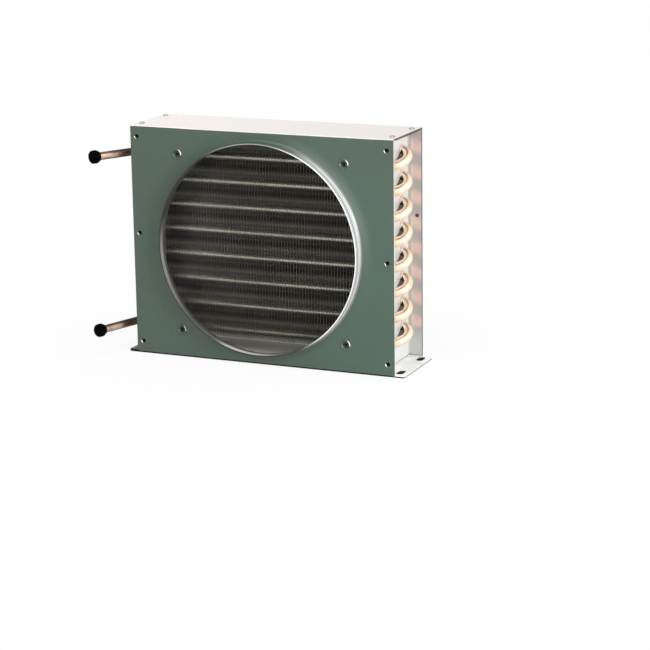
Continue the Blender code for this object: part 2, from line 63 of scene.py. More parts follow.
class Signal:
    """An output of a node, with arithmetic that adds Math nodes."""

    def __init__(self, graph: "Graph", socket: bpy.types.NodeSocket) -> None:
        """Wrap an output of a node in the graph."""
        self.graph = graph
        self.socket = socket

    def maths(self, operation: str, *values: "Signal | float") -> "Signal":
        """Output of a new Math node with these inputs."""
        inputs = dict(enumerate(values))
        return self.graph.node("ShaderNodeMath", {"operation": operation}, inputs)

    def __add__(self, other: "Signal | float") -> "Signal":
        """Sum."""
        return self.maths("ADD", self, other)

    def __radd__(self, other: float) -> "Signal":
        """Sum with a number on the left."""
        return self.maths("ADD", other, self)

    def __sub__(self, other: "Signal | float") -> "Signal":
        """Difference."""
        return self.maths("SUBTRACT", self, other)

    def __rsub__(self, other: float) -> "Signal":
        """Difference with a number on the left."""
        return self.maths("SUBTRACT", other, self)

    def __mul__(self, other: "Signal | float") -> "Signal":
        """Product."""
        return self.maths("MULTIPLY", self, other)

    def __rmul__(self, other: float) -> "Signal":
        """Product with a number on the left."""
        return self.maths("MULTIPLY", other, self)

    def __truediv__(self, other: "Signal | float") -> "Signal":
        """Quotient."""
        return self.maths("DIVIDE", self, other)

    def __pow__(self, other: float) -> "Signal":
        """Power."""
        return self.maths("POWER", self, other)

    def __abs__(self) -> "Signal":
        """Size without sign."""
        return self.maths("ABSOLUTE", self)

    def fraction(self) -> "Signal":
        """The part after the decimal point."""
        return self.maths("FRACT", self)

    def or_more(self, other: "Signal | float") -> "Signal":
        """The larger of two values."""
        return self.maths("MAXIMUM", self, other)

    def ramp(self, low: float, high: float) -> "Signal":
        """Smooth rise from 0 at low to 1 at high.

        Args:
            low: value that gives 0.
            high: value that gives 1.

        Returns:
            The eased value, clamped to 0..1.
        """
        settings = {"interpolation_type": "SMOOTHSTEP"}
        inputs = {"Value": self, "From Min": low, "From Max": high}
        return self.graph.node("ShaderNodeMapRange", settings, inputs)


class Graph:
    """The node graph of one material or of the world."""

    def __init__(self, tree: bpy.types.NodeTree) -> None:
        """Empty a node tree and take it over."""
        self.tree = tree
        tree.nodes.clear()

    def node(
        self,
        kind: str,
        settings: dict[str, object] | None = None,
        inputs: dict[str | int, object] | None = None,
        output: str | int = 0,
    ) -> Signal:
        """Add a node of any type.

        Args:
            kind: the node's type name.
            settings: its properties, set first; "stops" fills a colour ramp.
            inputs: values or signals for its sockets, by name or number.
            output: the output to return.

        Returns:
            The chosen output.
        """
        made = self.tree.nodes.new(kind)
        for name, value in (settings or {}).items():
            if name == "stops":
                self._fill_ramp(made.color_ramp, value)
            else:
                setattr(made, name, value)
        for name, value in (inputs or {}).items():
            if isinstance(value, Signal):
                self.tree.links.new(value.socket, made.inputs[name])
            elif isinstance(value, tuple) and made.inputs[name].type == "RGBA":
                made.inputs[name].default_value = (*value, 1.0)
            else:
                made.inputs[name].default_value = value
        return Signal(self, made.outputs[output] if made.outputs else None)

    @staticmethod
    def _fill_ramp(ramp: bpy.types.ColorRamp, stops: Sequence[tuple[float, Colour]]) -> None:
        """Set a colour ramp's stops."""
        while len(ramp.elements) < len(stops):
            ramp.elements.new(1.0)
        for element, (position, colour) in zip(ramp.elements, stops):
            element.position = position
            element.color = (*colour, 1.0)

    def place(self) -> Signal:
        """Object coordinates."""
        return self.node("ShaderNodeTexCoord", output="Object")

    def axes(self) -> list[Signal]:
        """The object coordinates X, Y and Z."""
        split = self.node("ShaderNodeSeparateXYZ", None, {0: self.place()})
        return [Signal(self, output) for output in split.socket.node.outputs]

    def noise(self, scale: float, detail: float = 3.0, stretch: Colour = (1, 1, 1)) -> Signal:
        """Cloudy value from 0 to 1.

        Args:
            scale: features per metre.
            detail: number of finer octaves.
            stretch: scale along each axis.

        Returns:
            The noise value.
        """
        spot = self.node("ShaderNodeMapping", None, {"Vector": self.place(), "Scale": stretch})
        inputs = {"Vector": spot, "Scale": scale, "Detail": detail, "Roughness": 0.55}
        return self.node("ShaderNodeTexNoise", None, inputs)

    def cells(self, scale: float) -> Signal:
        """Random value for each crystal-like cell, with the given number per metre."""
        inputs = {"Vector": self.place(), "Scale": scale}
        colour = self.node("ShaderNodeTexVoronoi", None, inputs, "Color")
        return self.node("ShaderNodeSeparateColor", None, {0: colour}, 0)

    def blend(self, factor: Signal | float, first: object, second: object) -> Signal:
        """Mix of two colours, of which factor 0 gives the first and 1 the second."""
        inputs = {0: factor, 6: first, 7: second}
        return self.node("ShaderNodeMix", {"data_type": "RGBA"}, inputs, 2)

    def layers(self, base: object, *coats: tuple[Signal | float, object]) -> object:
        """Lay coats of colour over a base.

        Args:
            base: the colour or signal below them.
            coats: (strength, colour or signal) of each, from below.

        Returns:
            The colour on top.
        """
        for strength, colour in coats:
            base = self.blend(strength, base, colour)
        return base

    def bump(self, height: Signal, distance: float, strength: float) -> Signal:
        """Normal for a relief of 0 to 1 that is so many metres deep."""
        inputs = {"Height": height, "Distance": distance, "Strength": strength}
        return self.node("ShaderNodeBump", None, inputs)


# ---------------------------------------------------------------------- finishes

TUBE_PITCH = 0.0254
LOWEST_TUBE = 0.0252
FRONT_ROW = -0.00305
WEB_FACE = 0.1272
FLANGE_MIDDLE = 0.1355
COS_LEAN, SIN_LEAN = 0.866, 0.5  # the hairpins' bends lean by 30 degrees
LINE_SPACING = 0.022  # between the slanted lines of two hairpins
WHOLE_PITCHES = 40.0  # added before a fraction is taken, so that it is never negative


def bend_place(graph: Graph) -> tuple[Signal, Signal]:
    """Place of a point beside the slanted line between its hairpin's two legs.

    Args:
        graph: the material's graph.

    Returns:
        The distance along the line from the front leg, and the distance below it.
    """
    _, y, z = graph.axes()
    back, rise = y - FRONT_ROW, z - LOWEST_TUBE
    turn = (COS_LEAN * rise - SIN_LEAN * back + 0.0095) / LINE_SPACING
    lifted = rise - TUBE_PITCH * (turn - (turn + WHOLE_PITCHES).fraction())
    return COS_LEAN * back + SIN_LEAN * lifted, SIN_LEAN * back - COS_LEAN * lifted


def leaf_shade(graph: Graph, aside: Signal, below: Signal) -> tuple[Signal, Signal, Signal]:
    """Leaf-shaped painted shade in the hollow on the inner side of a hairpin's bend.

    Args:
        graph: the material's graph.
        aside: distance along the line between the legs.
        below: distance below that line.

    Returns:
        The mark, its distance out from the line, and the distance along it.
    """
    proud = graph.axes()[0] - WEB_FACE
    out = 0.862 * proud + 0.505 * below
    along = 0.327 * proud + 0.7625 * aside - 0.558 * below
    middle = (along - 0.0130) / 0.0063
    width = 0.0043 - 0.0043 * middle * middle
    mark = out.ramp(-0.0001, 0.0003) * (1.0 - (out - width).ramp(-0.0003, 0.0003))
    return mark, out, along


@dataclass(frozen=True)
class Finish:
    """A surface finish that is made into one shared material."""

    name: str
    slot: str

    def surface(self, graph: Graph) -> dict[str, object]:
        """Values or signals for the Principled shader's sockets."""
        raise NotImplementedError

    def material(self) -> bpy.types.Material:
        """Make the material, or fetch it where it has been made.

        Returns:
            The material with this finish.
        """
        made = bpy.data.materials.get(self.name)
        if made is None:
            made = bpy.data.materials.new(self.name)
            made.use_nodes = True
            graph = Graph(made.node_tree)
            shader = graph.node("ShaderNodeBsdfPrincipled", None, self.surface(graph))
            graph.node("ShaderNodeOutputMaterial", None, {"Surface": shader})
        return made


@dataclass(frozen=True)
class SatinPaint(Finish):
    """Grey-green paint with a faint orange-peel skin, bare metal on the drawn collar's lit right
    side, and painted light and shade round the collar.
    """

    name: str = "grey_green_paint"
    slot: str = "shroud_paint"
    colour: Colour = (0.058, 0.103, 0.076)
    warm: Colour = (0.053, 0.084, 0.061)
    metal: Colour = (0.97, 0.965, 0.97)
    primer: Colour = (0.27, 0.27, 0.27)
    # Dark colour of the painted shade round the collar.
    shade_and_grime: Colour = (0.018, 0.022, 0.020)
    middle: float = 0.1185
    wall: float = 0.1063
    bare: float = 0.1080
    covered: float = 0.1092
    rim: float = -0.0510

    def surface(self, graph: Graph) -> dict[str, object]:
        """Mottled colour, a little darker and less green to the left, soft gloss and a fine relief,
        bare metal on the collar's lit right side, and painted light and shade round the collar.
        """
        x, y, z = graph.axes()
        rise = z - self.middle
        reach = (x * x + rise * rise) ** 0.5
        cloud = graph.noise(14.0, 2.0).ramp(0.3, 0.7)
        fleck = graph.noise(380.0, 2.0).ramp(0.35, 0.8)
        left = 1.0 - x.ramp(-0.14, 0.10)
        right = (x / reach).ramp(0.12, 0.50)
        # A painted glow on the paint just outside the collar's right side, the light of its bright
        # wall.
        halo = (1.0 - reach.ramp(self.covered, 0.121)) * right * (rise / reach).ramp(-0.3, 0.6)
        # A painted shadow on the paint just outside the collar's lower left.
        foot = (1.0 - reach.ramp(0.1120, 0.1160)) * (1.0 - (x + rise).ramp(-0.11, 0.02))
        upper = x.ramp(0.02, 0.12) * rise.ramp(0.03, 0.10)
        # The collar is bare metal only on its lit right side, so its bright wall is partly painted
        # light.
        lit_bare_metal = (1.0 - reach.ramp(self.bare, self.covered)) * (x / reach).ramp(0.30, 0.72)
        # A painted darker band across the middle of the bare wall, and painted shade where the wall
        # meets the panel.
        dark_wall_band = 1.0 - abs(y + 0.0472).ramp(0.0005, 0.0017)
        wall = graph.layers(
            self.metal, (dark_wall_band, (0.50, 0.50, 0.52)), (0.8 * y.ramp(-0.0408, -0.0398), self.shade_and_grime)
        )
        # A painted highlight on the inner wall at the bottom, left of the middle.
        low = (-1.0 * rise / reach).ramp(0.86, 0.97) * (1.0 - y.ramp(-0.050, -0.042))
        low = low * x.ramp(-0.062, -0.030) * (1.0 - x.ramp(0.0, 0.03))
        # The inner wall is grey primer, with painted shade at its bottom, its top and its rear
        # part.
        lining = graph.layers(
            (0.11, 0.11, 0.105),
            (rise.ramp(-0.080, -0.030), self.primer),
            (rise.ramp(-0.01, 0.035).or_more(0.85 * y.ramp(-0.0462, -0.0440)), (0.03, 0.032, 0.03)),
            (low, (0.82, 0.79, 0.76)),
        )
        # The rim is painted dark on its shaded left and bottom, grey on top and bare metal on the
        # right: painted light and shade.
        lit = ((0.9 * x + 0.5 * rise) / reach).ramp(-0.10, 0.30)
        edge = graph.blend(lit, self.shade_and_grime, graph.blend(right, (0.30, 0.295, 0.28), self.metal))
        tone = graph.layers(
            self.colour,
            (0.35 * cloud + 0.65 * left, self.warm),
            (0.16 * fleck, (0.10, 0.14, 0.115)),
            (0.18 * halo, (0.45, 0.45, 0.46)),
            (0.14 * foot, self.shade_and_grime),
            (0.7 * upper, (0.060, 0.089, 0.070)),
            (lit_bare_metal, wall),
            (1.0 - reach.ramp(self.wall - 0.0002, self.wall), lining),
            (1.0 - y.ramp(self.rim - 0.0001, self.rim + 0.0001), edge),
        )
        return {
            "Base Color": tone,
            "Metallic": 0.45 * lit_bare_metal,
            "Roughness": 0.30 + 0.06 * cloud,
            "Normal": graph.bump(graph.noise(700.0, 1.0), 0.00002, 0.5),
        }


@dataclass(frozen=True)
class Galvanised(Finish):
    """Bright hot-dipped zinc with a small spangle and rolling streaks."""

    name: str = "galvanised_steel"
    slot: str = "galvanised_sheet"
    light: Colour = (0.84, 0.815, 0.795)
    dull: Colour = (0.68, 0.66, 0.65)
    metallic: float = 0.55
    roughness: float = 0.36
    mottle: float = 0.3

    def surface(self, graph: Graph) -> dict[str, object]:
        """Spangled reflections with faint dull patches."""
        spangle = graph.cells(420.0)
        patch = graph.noise(28.0, 3.0).ramp(0.35, 0.75)
        streak = graph.noise(30.0, 2.0, (1.0, 1.0, 12.0))
        tone = self.mottle * (0.20 * spangle + 0.45 * patch + 0.3 * streak)
        return {
            "Base Color": graph.blend(tone, self.light, self.dull),
            "Metallic": self.metallic,
            "Roughness": self.roughness + 0.08 * patch + 0.05 * spangle,
            "Normal": graph.bump(spangle, 0.00002, 0.10 * self.mottle),
        }


@dataclass(frozen=True)
class PlateZinc(Galvanised):
    """Zinc of the end plates, with grimy free edges, a painted shadow along the rear flange's foot,
    painted shade in the bends' hollows, a painted shade over the rear flange and painted
    reflections of the bends on it.
    """

    name: str = "end_plate_zinc"
    # Colour of the darker free-edge band and of the painted shadow at the rear flange's foot.
    shade_and_grime: Colour = (0.05, 0.042, 0.036)
    stain_and_shade: Colour = (0.12, 0.072, 0.032)
    light: Colour = (0.75, 0.755, 0.76)
    dull: Colour = (0.69, 0.69, 0.69)
    metallic: float = 0.25
    roughness: float = 0.5
    warm: Colour = (0.72, 0.68, 0.65)
    # Darker grey of the rear flange, a painted shade.
    flange_shade: Colour = (0.40, 0.39, 0.375)
    # Colours of the painted reflections of the bends on the rear flange.
    reflected_copper: Colour = (0.74, 0.53, 0.475)
    cream: Colour = (0.80, 0.73, 0.65)

    def surface(self, graph: Graph) -> dict[str, object]:
        """Zinc with its marks, painted shade and painted reflections laid over it, at the heights
        of the tubes.
        """
        look = super().surface(graph)
        x, along, rise = graph.axes()
        out = abs(x)
        # Leaf-shaped painted shade on the web, in the hollow between each bend's legs.
        leaf = leaf_shade(graph, *bend_place(graph))[0]
        leaf = leaf * x.ramp(0.1268, 0.1270) * rise.ramp(0.0255, 0.0265)
        # A darker band along the rear flange's free edge, and a painted contact shadow along the
        # rear flange's foot.
        edge = out.ramp(0.1405, 0.1411) * along.ramp(0.0, 0.01)
        foot = (1.0 - rise.ramp(0.0031, 0.0041)) * along.ramp(0.030, 0.033)
        # The rear flange is painted a darker grey than the web, a painted shade, lighter low down.
        rear = along.ramp(0.0352, 0.0362)
        # Pink and cream blotches on the rear flange at the tubes' heights are painted reflections
        # of the bends.
        slant = rise + 0.3 * (out - FLANGE_MIDDLE) + 0.008 * (graph.noise(180.0, 3.0) - 0.5)
        phase = ((slant - LOWEST_TUBE) / TUBE_PITCH + WHOLE_PITCHES).fraction()
        place = abs(phase - 0.5) * TUBE_PITCH
        bend_reflection = (1.0 - abs(out - FLANGE_MIDDLE).ramp(0.0035, 0.008)) * rise.ramp(0.029, 0.031)
        bend_reflection = bend_reflection * (1.0 - place.ramp(0.001, 0.0105))
        flange_shade = graph.blend(rise.ramp(0.012, 0.040), (0.50, 0.515, 0.495), self.flange_shade)
        look["Base Color"] = graph.layers(
            look["Base Color"],
            (0.8 * rise.ramp(0.028, 0.042), self.warm),
            (rear, flange_shade),
            (0.85 * rear * bend_reflection, graph.blend(out.ramp(0.1300, 0.1325), self.cream, self.reflected_copper)),
            (0.95 * leaf, self.stain_and_shade),
            (0.85 * edge.or_more(foot), self.shade_and_grime),
        )
        return look


@dataclass(frozen=True)
class CoverZinc(Galvanised):
    """Zinc of the top plate, smooth and a little duller to the right."""

    name: str = "cover_zinc"
    light: Colour = (0.92, 0.87, 0.83)
    dull: Colour = (0.79, 0.735, 0.695)
    metallic: float = 0.3
    mottle: float = 0.2

    def surface(self, graph: Graph) -> dict[str, object]:
        """Smooth zinc with a slow change of tone along the plate."""
        look = super().surface(graph)
        right = graph.axes()[0].ramp(-0.20, 0.16)
        cloud = 0.25 * graph.noise(28.0, 3.0)
        look["Base Color"] = graph.layers(self.light, (right, self.dull), (cloud, self.dull))
        return look


@dataclass(frozen=True)
class BaseZinc(Galvanised):
    """Zinc of the base plate, dull and dusty inside the case, darkening to painted shade under the
    fins.
    """

    name: str = "base_zinc"
    light: Colour = (0.97, 0.975, 0.97)
    dull: Colour = (0.88, 0.885, 0.88)
    metallic: float = 0.3
    mottle: float = 0.4
    dust: Colour = (0.78, 0.70, 0.63)
    shade: Colour = (0.22, 0.205, 0.19)
    left_foot_shade: Colour = (0.022, 0.022, 0.014)
    inside: float = 0.1262

    def surface(self, graph: Graph) -> dict[str, object]:
        """Clean feet but for painted shade on the left one's front end, and a dusty middle that
        darkens to painted shade towards the rear.
        """
        look = super().surface(graph)
        x, y, _ = graph.axes()
        middle = 1.0 - abs(x).ramp(self.inside - 0.0008, self.inside)
        # The left foot's front end is painted near black, a painted shade.
        left = (1.0 - x.ramp(-0.1425, -0.1415)) * (1.0 - y.ramp(-0.016, -0.010))
        dust = graph.blend(y.ramp(-0.026, -0.010), self.dust, (0.66, 0.61, 0.56))
        # Towards the rear, under the fins, the dusty middle darkens to painted shade.
        dust = graph.blend(y.ramp(-0.005, 0.030), dust, self.shade)
        tone = look["Base Color"]
        look["Base Color"] = graph.layers(tone, (middle, dust), (0.95 * left, self.left_foot_shade))
        look["Metallic"] = self.metallic * (1.0 - middle)
        look["Roughness"] = look["Roughness"] + 0.4 * middle
        return look


@dataclass(frozen=True)
class CutEdge(Finish):
    """Sheared sheet edge, bare steel under the zinc."""

    name: str = "cut_edge"
    slot: str = "galvanised_sheet"
    steel: Colour = (0.075, 0.062, 0.055)
    stain_and_shade: Colour = (0.03, 0.022, 0.018)

    def surface(self, graph: Graph) -> dict[str, object]:
        """Brownish steel with darker stains."""
        stain_and_shade = graph.noise(260.0, 3.0).ramp(0.45, 0.7)
        return {
            "Base Color": graph.blend(stain_and_shade, self.steel, self.stain_and_shade),
            "Metallic": 0.1,
            "Roughness": 0.55 + 0.2 * stain_and_shade,
        }


@dataclass(frozen=True)
class BaseEdge(CutEdge):
    """Sheared edge of the base plate, darker than the other cut edges as painted shade, with zinc
    colour on its right end's upper part.
    """

    name: str = "base_edge"
    steel: Colour = (0.020, 0.018, 0.017)
    stain_and_shade: Colour = (0.010, 0.009, 0.009)
    zinc: Colour = (0.80, 0.80, 0.785)

    def surface(self, graph: Graph) -> dict[str, object]:
        """Dark steel, with painted light in zinc colour above a painted shadow line on the right.
        """
        look = super().surface(graph)
        x, _, z = graph.axes()
        # On the right end the lit upper part is painted zinc colour over a dark lower line: painted
        # light over a painted shadow.
        upper = z.ramp(0.0008, 0.0012) * x.ramp(0.136, 0.140)
        look["Base Color"] = graph.blend(upper, look["Base Color"], self.zinc)
        look["Specular IOR Level"] = 0.1
        return look


@dataclass(frozen=True)
class FinStock(Finish):
    """Thin mill-finish aluminium with a film of drawing oil, with light and shade painted on it."""

    name: str = "oiled_fin_stock"
    slot: str = "fin_aluminium"
    tint: Colour = (1.0, 0.975, 0.86)
    bands: tuple[tuple[float, float], ...] = (
        (0.0, 1.0), (0.05, 0.75), (0.12, 0.46), (0.19, 0.50), (0.225, 1.0), (0.26, 0.75),
        (0.32, 0.38), (0.42, 0.95), (0.51, 0.52), (0.575, 0.27), (0.66, 0.20), (0.78, 0.75),
        (0.85, 0.42), (0.92, 0.65),
    )
    collar: float = 0.0059
    edge: float = -0.0135

    def surface(self, graph: Graph) -> dict[str, object]:
        """Light and shade painted in bands at the tubes' heights, a painted glint on the collars'
        fronts, an even grey on the front edges, painted shade deeper in and painted light to the
        left, under a faint oily film.
        """
        film = graph.noise(45.0, 3.0).ramp(0.35, 0.7)
        x, along, z = graph.axes()
        phase = ((z - LOWEST_TUBE) / TUBE_PITCH + WHOLE_PITCHES).fraction()
        # Light and shade painted in bands at the tubes' heights.
        grey = [(at, (level,) * 3) for at, level in self.bands]
        band = graph.node("ShaderNodeValToRGB", {"stops": grey}, {0: phase})
        height = ((phase + 0.5).fraction() - 0.5) * TUBE_PITCH
        depth = along - FRONT_ROW
        near = 1.0 - (height * height + depth * depth).ramp(self.collar**2 * 0.8, self.collar**2)
        # A painted glint along the front of each front-row collar.
        glint = 1.0 - abs(height + 0.0006).ramp(0.0007, 0.0017)
        collar = graph.blend(glint, (0.16,) * 3, (0.95,) * 3)
        # Painted shade deeper in the pack, and painted light on the fins to the left.
        deep = along.ramp(self.edge, self.edge + 0.006)
        left = 1.0 - x.ramp(-0.10, -0.02)
        tone = graph.layers(
            band,
            (near * (1.0 - along.ramp(0.0, 0.002)), collar),
            (0.25 * deep * (1.0 - near), (0.06,) * 3),
            (1.0 - along.ramp(self.edge - 0.0003, self.edge), (0.30,) * 3),
            (0.08 * film, (0.2,) * 3),
            (0.30 * left, (0.92,) * 3),
        )
        tint = graph.blend(left, self.tint, (1.0, 0.96, 0.90))
        settings = {"data_type": "RGBA", "blend_type": "MULTIPLY"}
        return {
            "Base Color": graph.node(
                "ShaderNodeMix", settings, {0: 1.0 - 0.7 * near * glint, 6: tone, 7: tint}, 2
            ),
            "Metallic": 0.95,
            "Roughness": 0.30 + 0.12 * film,
        }


@dataclass(frozen=True)
class DrawnCopper(Finish):
    """Bright drawn copper, tarnished in places and heat tinted near its joints, with light and
    shade painted on the bends.
    """

    name: str = "drawn_copper"
    slot: str = "tube_copper"
    bright: Colour = (0.94, 0.755, 0.57)
    tarnish: Colour = (0.80, 0.53, 0.37)
    scorched: Colour = (0.14, 0.07, 0.06)
    # Colour of the painted reflection line and of the painted shade at the bends' feet.
    streak: Colour = (0.30, 0.13, 0.075)
    leaf_shade_colour: Colour = (0.05, 0.03, 0.018)
    rear_leg_highlight: Colour = (0.90, 0.86, 0.83)
    inner_highlight: Colour = (0.99, 0.90, 0.79)
    joint: float = 0.1345
    reach: float = 0.014
    web: float = 0.1244

    def surface(self, graph: Graph) -> dict[str, object]:
        """Copper with cloudy tarnish and a scorched collar, and on the bends a painted reflection
        line, painted highlights and painted shade.
        """
        cloud = graph.noise(110.0, 3.0).ramp(0.42, 0.72)
        fleck = graph.noise(420.0, 2.0).ramp(0.5, 0.75)
        x = graph.axes()[0]
        heat = (1.0 - abs(x + self.joint).ramp(0.0, self.reach)) * (0.55 + 0.45 * cloud)
        aside, below = bend_place(graph)
        out, across = x - self.web, aside - 0.0117
        # A painted dark reflection line along each bend, and painted shade at its feet by the web.
        mid = ((out - 0.0008) ** 2.0 + across ** 2.0) ** 0.5 - 0.0130
        line = (1.0 - abs(mid).ramp(0.0004, 0.0014)) * (1.0 - 0.5 * below.ramp(0.001, 0.004))
        # A painted highlight on the bend's inner side.
        inner = (1.0 - mid.ramp(-0.0018, -0.0008)) * out.ramp(0.001, 0.003)
        feet = 1.0 - out.ramp(0.0030, 0.0065)
        clear = out.ramp(0.0, 0.001)
        mark = (line * out.ramp(0.0, 0.004)).or_more(0.75 * feet) * clear
        # Painted shade in the leaf-shaped hollow of each bend, and a painted highlight on the rear
        # leg beside it.
        leaf, beyond, along = leaf_shade(graph, aside, below)
        pale = (1.0 - beyond.ramp(-0.0004, 0.0)) * along.ramp(0.0085, 0.0105)
        metal = graph.layers(
            self.bright,
            (0.5 * cloud + 0.12 * fleck, self.tarnish),
            (0.9 * inner, self.inner_highlight),
            ((0.45 + 0.35 * cloud) * mark, self.streak),
            (pale * clear, self.rear_leg_highlight),
            (leaf * clear, self.leaf_shade_colour),
            (0.85 * heat, self.scorched),
        )
        return {
            "Base Color": metal,
            "Metallic": 0.8,
            "Roughness": 0.56 + 0.06 * cloud + 0.15 * heat,
            "Normal": graph.bump(graph.noise(600.0, 1.0), 0.00003, 0.35),
        }


@dataclass(frozen=True)
class PipeCopper(DrawnCopper):
    """Annealed copper of the connection pipes, darker brown towards the case."""

    name: str = "pipe_copper"
    bright: Colour = (0.74, 0.53, 0.41)
    tarnish: Colour = (0.32, 0.21, 0.155)
    dark: Colour = (0.065, 0.038, 0.031)
    shade: Colour = (0.03, 0.02, 0.016)
    reach: float = 0.02

    def surface(self, graph: Graph) -> dict[str, object]:
        """Peach near the cap, purple-brown near the case, and painted shade along its upper and
        lower side.
        """
        look = super().surface(graph)
        cloud = graph.noise(150.0, 3.0, (1.0, 0.35, 1.0)).ramp(0.35, 0.7)
        _, y, z = graph.axes()
        rise = (z - LOWEST_TUBE) / TUBE_PITCH + (WHOLE_PITCHES + 0.5)
        edge = abs(rise.fraction() - 0.5) * TUBE_PITCH
        near = (y + 0.006 * cloud).ramp(-0.044, -0.020)
        tone = graph.blend(0.20 * cloud + 0.80 * near, look["Base Color"], self.dark)
        # The pipe's upper and lower sides, where it curves away, get painted shade.
        look["Base Color"] = graph.blend(0.9 * edge.ramp(0.0018, 0.0032), tone, self.shade)
        return look


@dataclass(frozen=True)
class CapRubber(Finish):
    """Black moulded rubber with a matt bloom."""

    name: str = "moulded_rubber"
    slot: str = "cap_rubber"
    black: Colour = (0.0015, 0.0015, 0.0015)
    bloom: Colour = (0.005, 0.0047, 0.0045)

    def surface(self, graph: Graph) -> dict[str, object]:
        """Near-black with a dusty bloom."""
        dust = graph.noise(320.0, 3.0).ramp(0.45, 0.8)
        return {
            "Base Color": graph.blend(dust, self.black, self.bloom),
            "Roughness": 0.58 + 0.2 * dust,
            "Specular IOR Level": 0.01,
            "Normal": graph.bump(graph.noise(1500.0, 1.0), 0.00003, 0.4),
        }


@dataclass(frozen=True)
class ZincPlate(Finish):
    """Bright zinc plating of the small fasteners."""

    name: str = "zinc_plate"
    slot: str = "zinc_steel"
    light: Colour = (0.48, 0.47, 0.45)
    dark: Colour = (0.26, 0.25, 0.24)

    def surface(self, graph: Graph) -> dict[str, object]:
        """Plated metal with handling marks."""
        mark = graph.noise(700.0, 3.0).ramp(0.4, 0.7)
        return {
            "Base Color": graph.blend(mark, self.light, self.dark),
            "Metallic": 0.95,
            "Roughness": 0.28 + 0.2 * mark,
        }


@dataclass(frozen=True)
class BlackOxide(Finish):
    """Blackened steel of the threaded inserts, also laid as painted shade in the panel's bores and
    on the discs in the rear holes.
    """

    name: str = "black_oxide"
    slot: str = "zinc_steel"
    black: Colour = (0.024, 0.034, 0.029)
    rubbed: Colour = (0.085, 0.105, 0.095)

    def surface(self, graph: Graph) -> dict[str, object]:
        """Matt black with rubbed places."""
        rubbed = graph.noise(900.0, 2.0).ramp(0.5, 0.8)
        return {
            "Base Color": graph.blend(rubbed, self.black, self.rubbed),
            "Roughness": 0.45 + 0.15 * rubbed,
        }


# --------------------------------------------------------------- modelling bench


class Facing(Enum):
    """The axis that a flat shape faces, with the turn that makes it face there."""

    X = (0.0, math.pi / 2, 0.0)
    Y = (math.pi / 2, 0.0, 0.0)

    def spread(self, size: Sequence[float]) -> Colour:
        """Scale that gives a unit plane its extent along X, Y and Z."""
        x, y, z = size
        return (z, y, 1.0) if self is Facing.X else (x, z, 1.0)


def start_fresh() -> None:
    """Leave edit mode and deselect every object."""
    if bpy.context.active_object and bpy.context.active_object.mode != "OBJECT":
        bpy.ops.object.mode_set(mode="OBJECT")
    bpy.ops.object.select_all(action="DESELECT")


def add_ring(
    radius: float, middle: Sequence[float], turn: Sequence[float], sides: int, fill: str = "NOTHING"
) -> None:
    """Add a circle of edges.

    Args:
        radius: its radius.
        middle: its centre.
        turn: its rotation.
        sides: number of sides.
        fill: NGON closes it with a face.
    """
    bpy.ops.mesh.primitive_circle_add(
        vertices=sides, radius=radius, location=middle, rotation=turn, fill_type=fill
    )


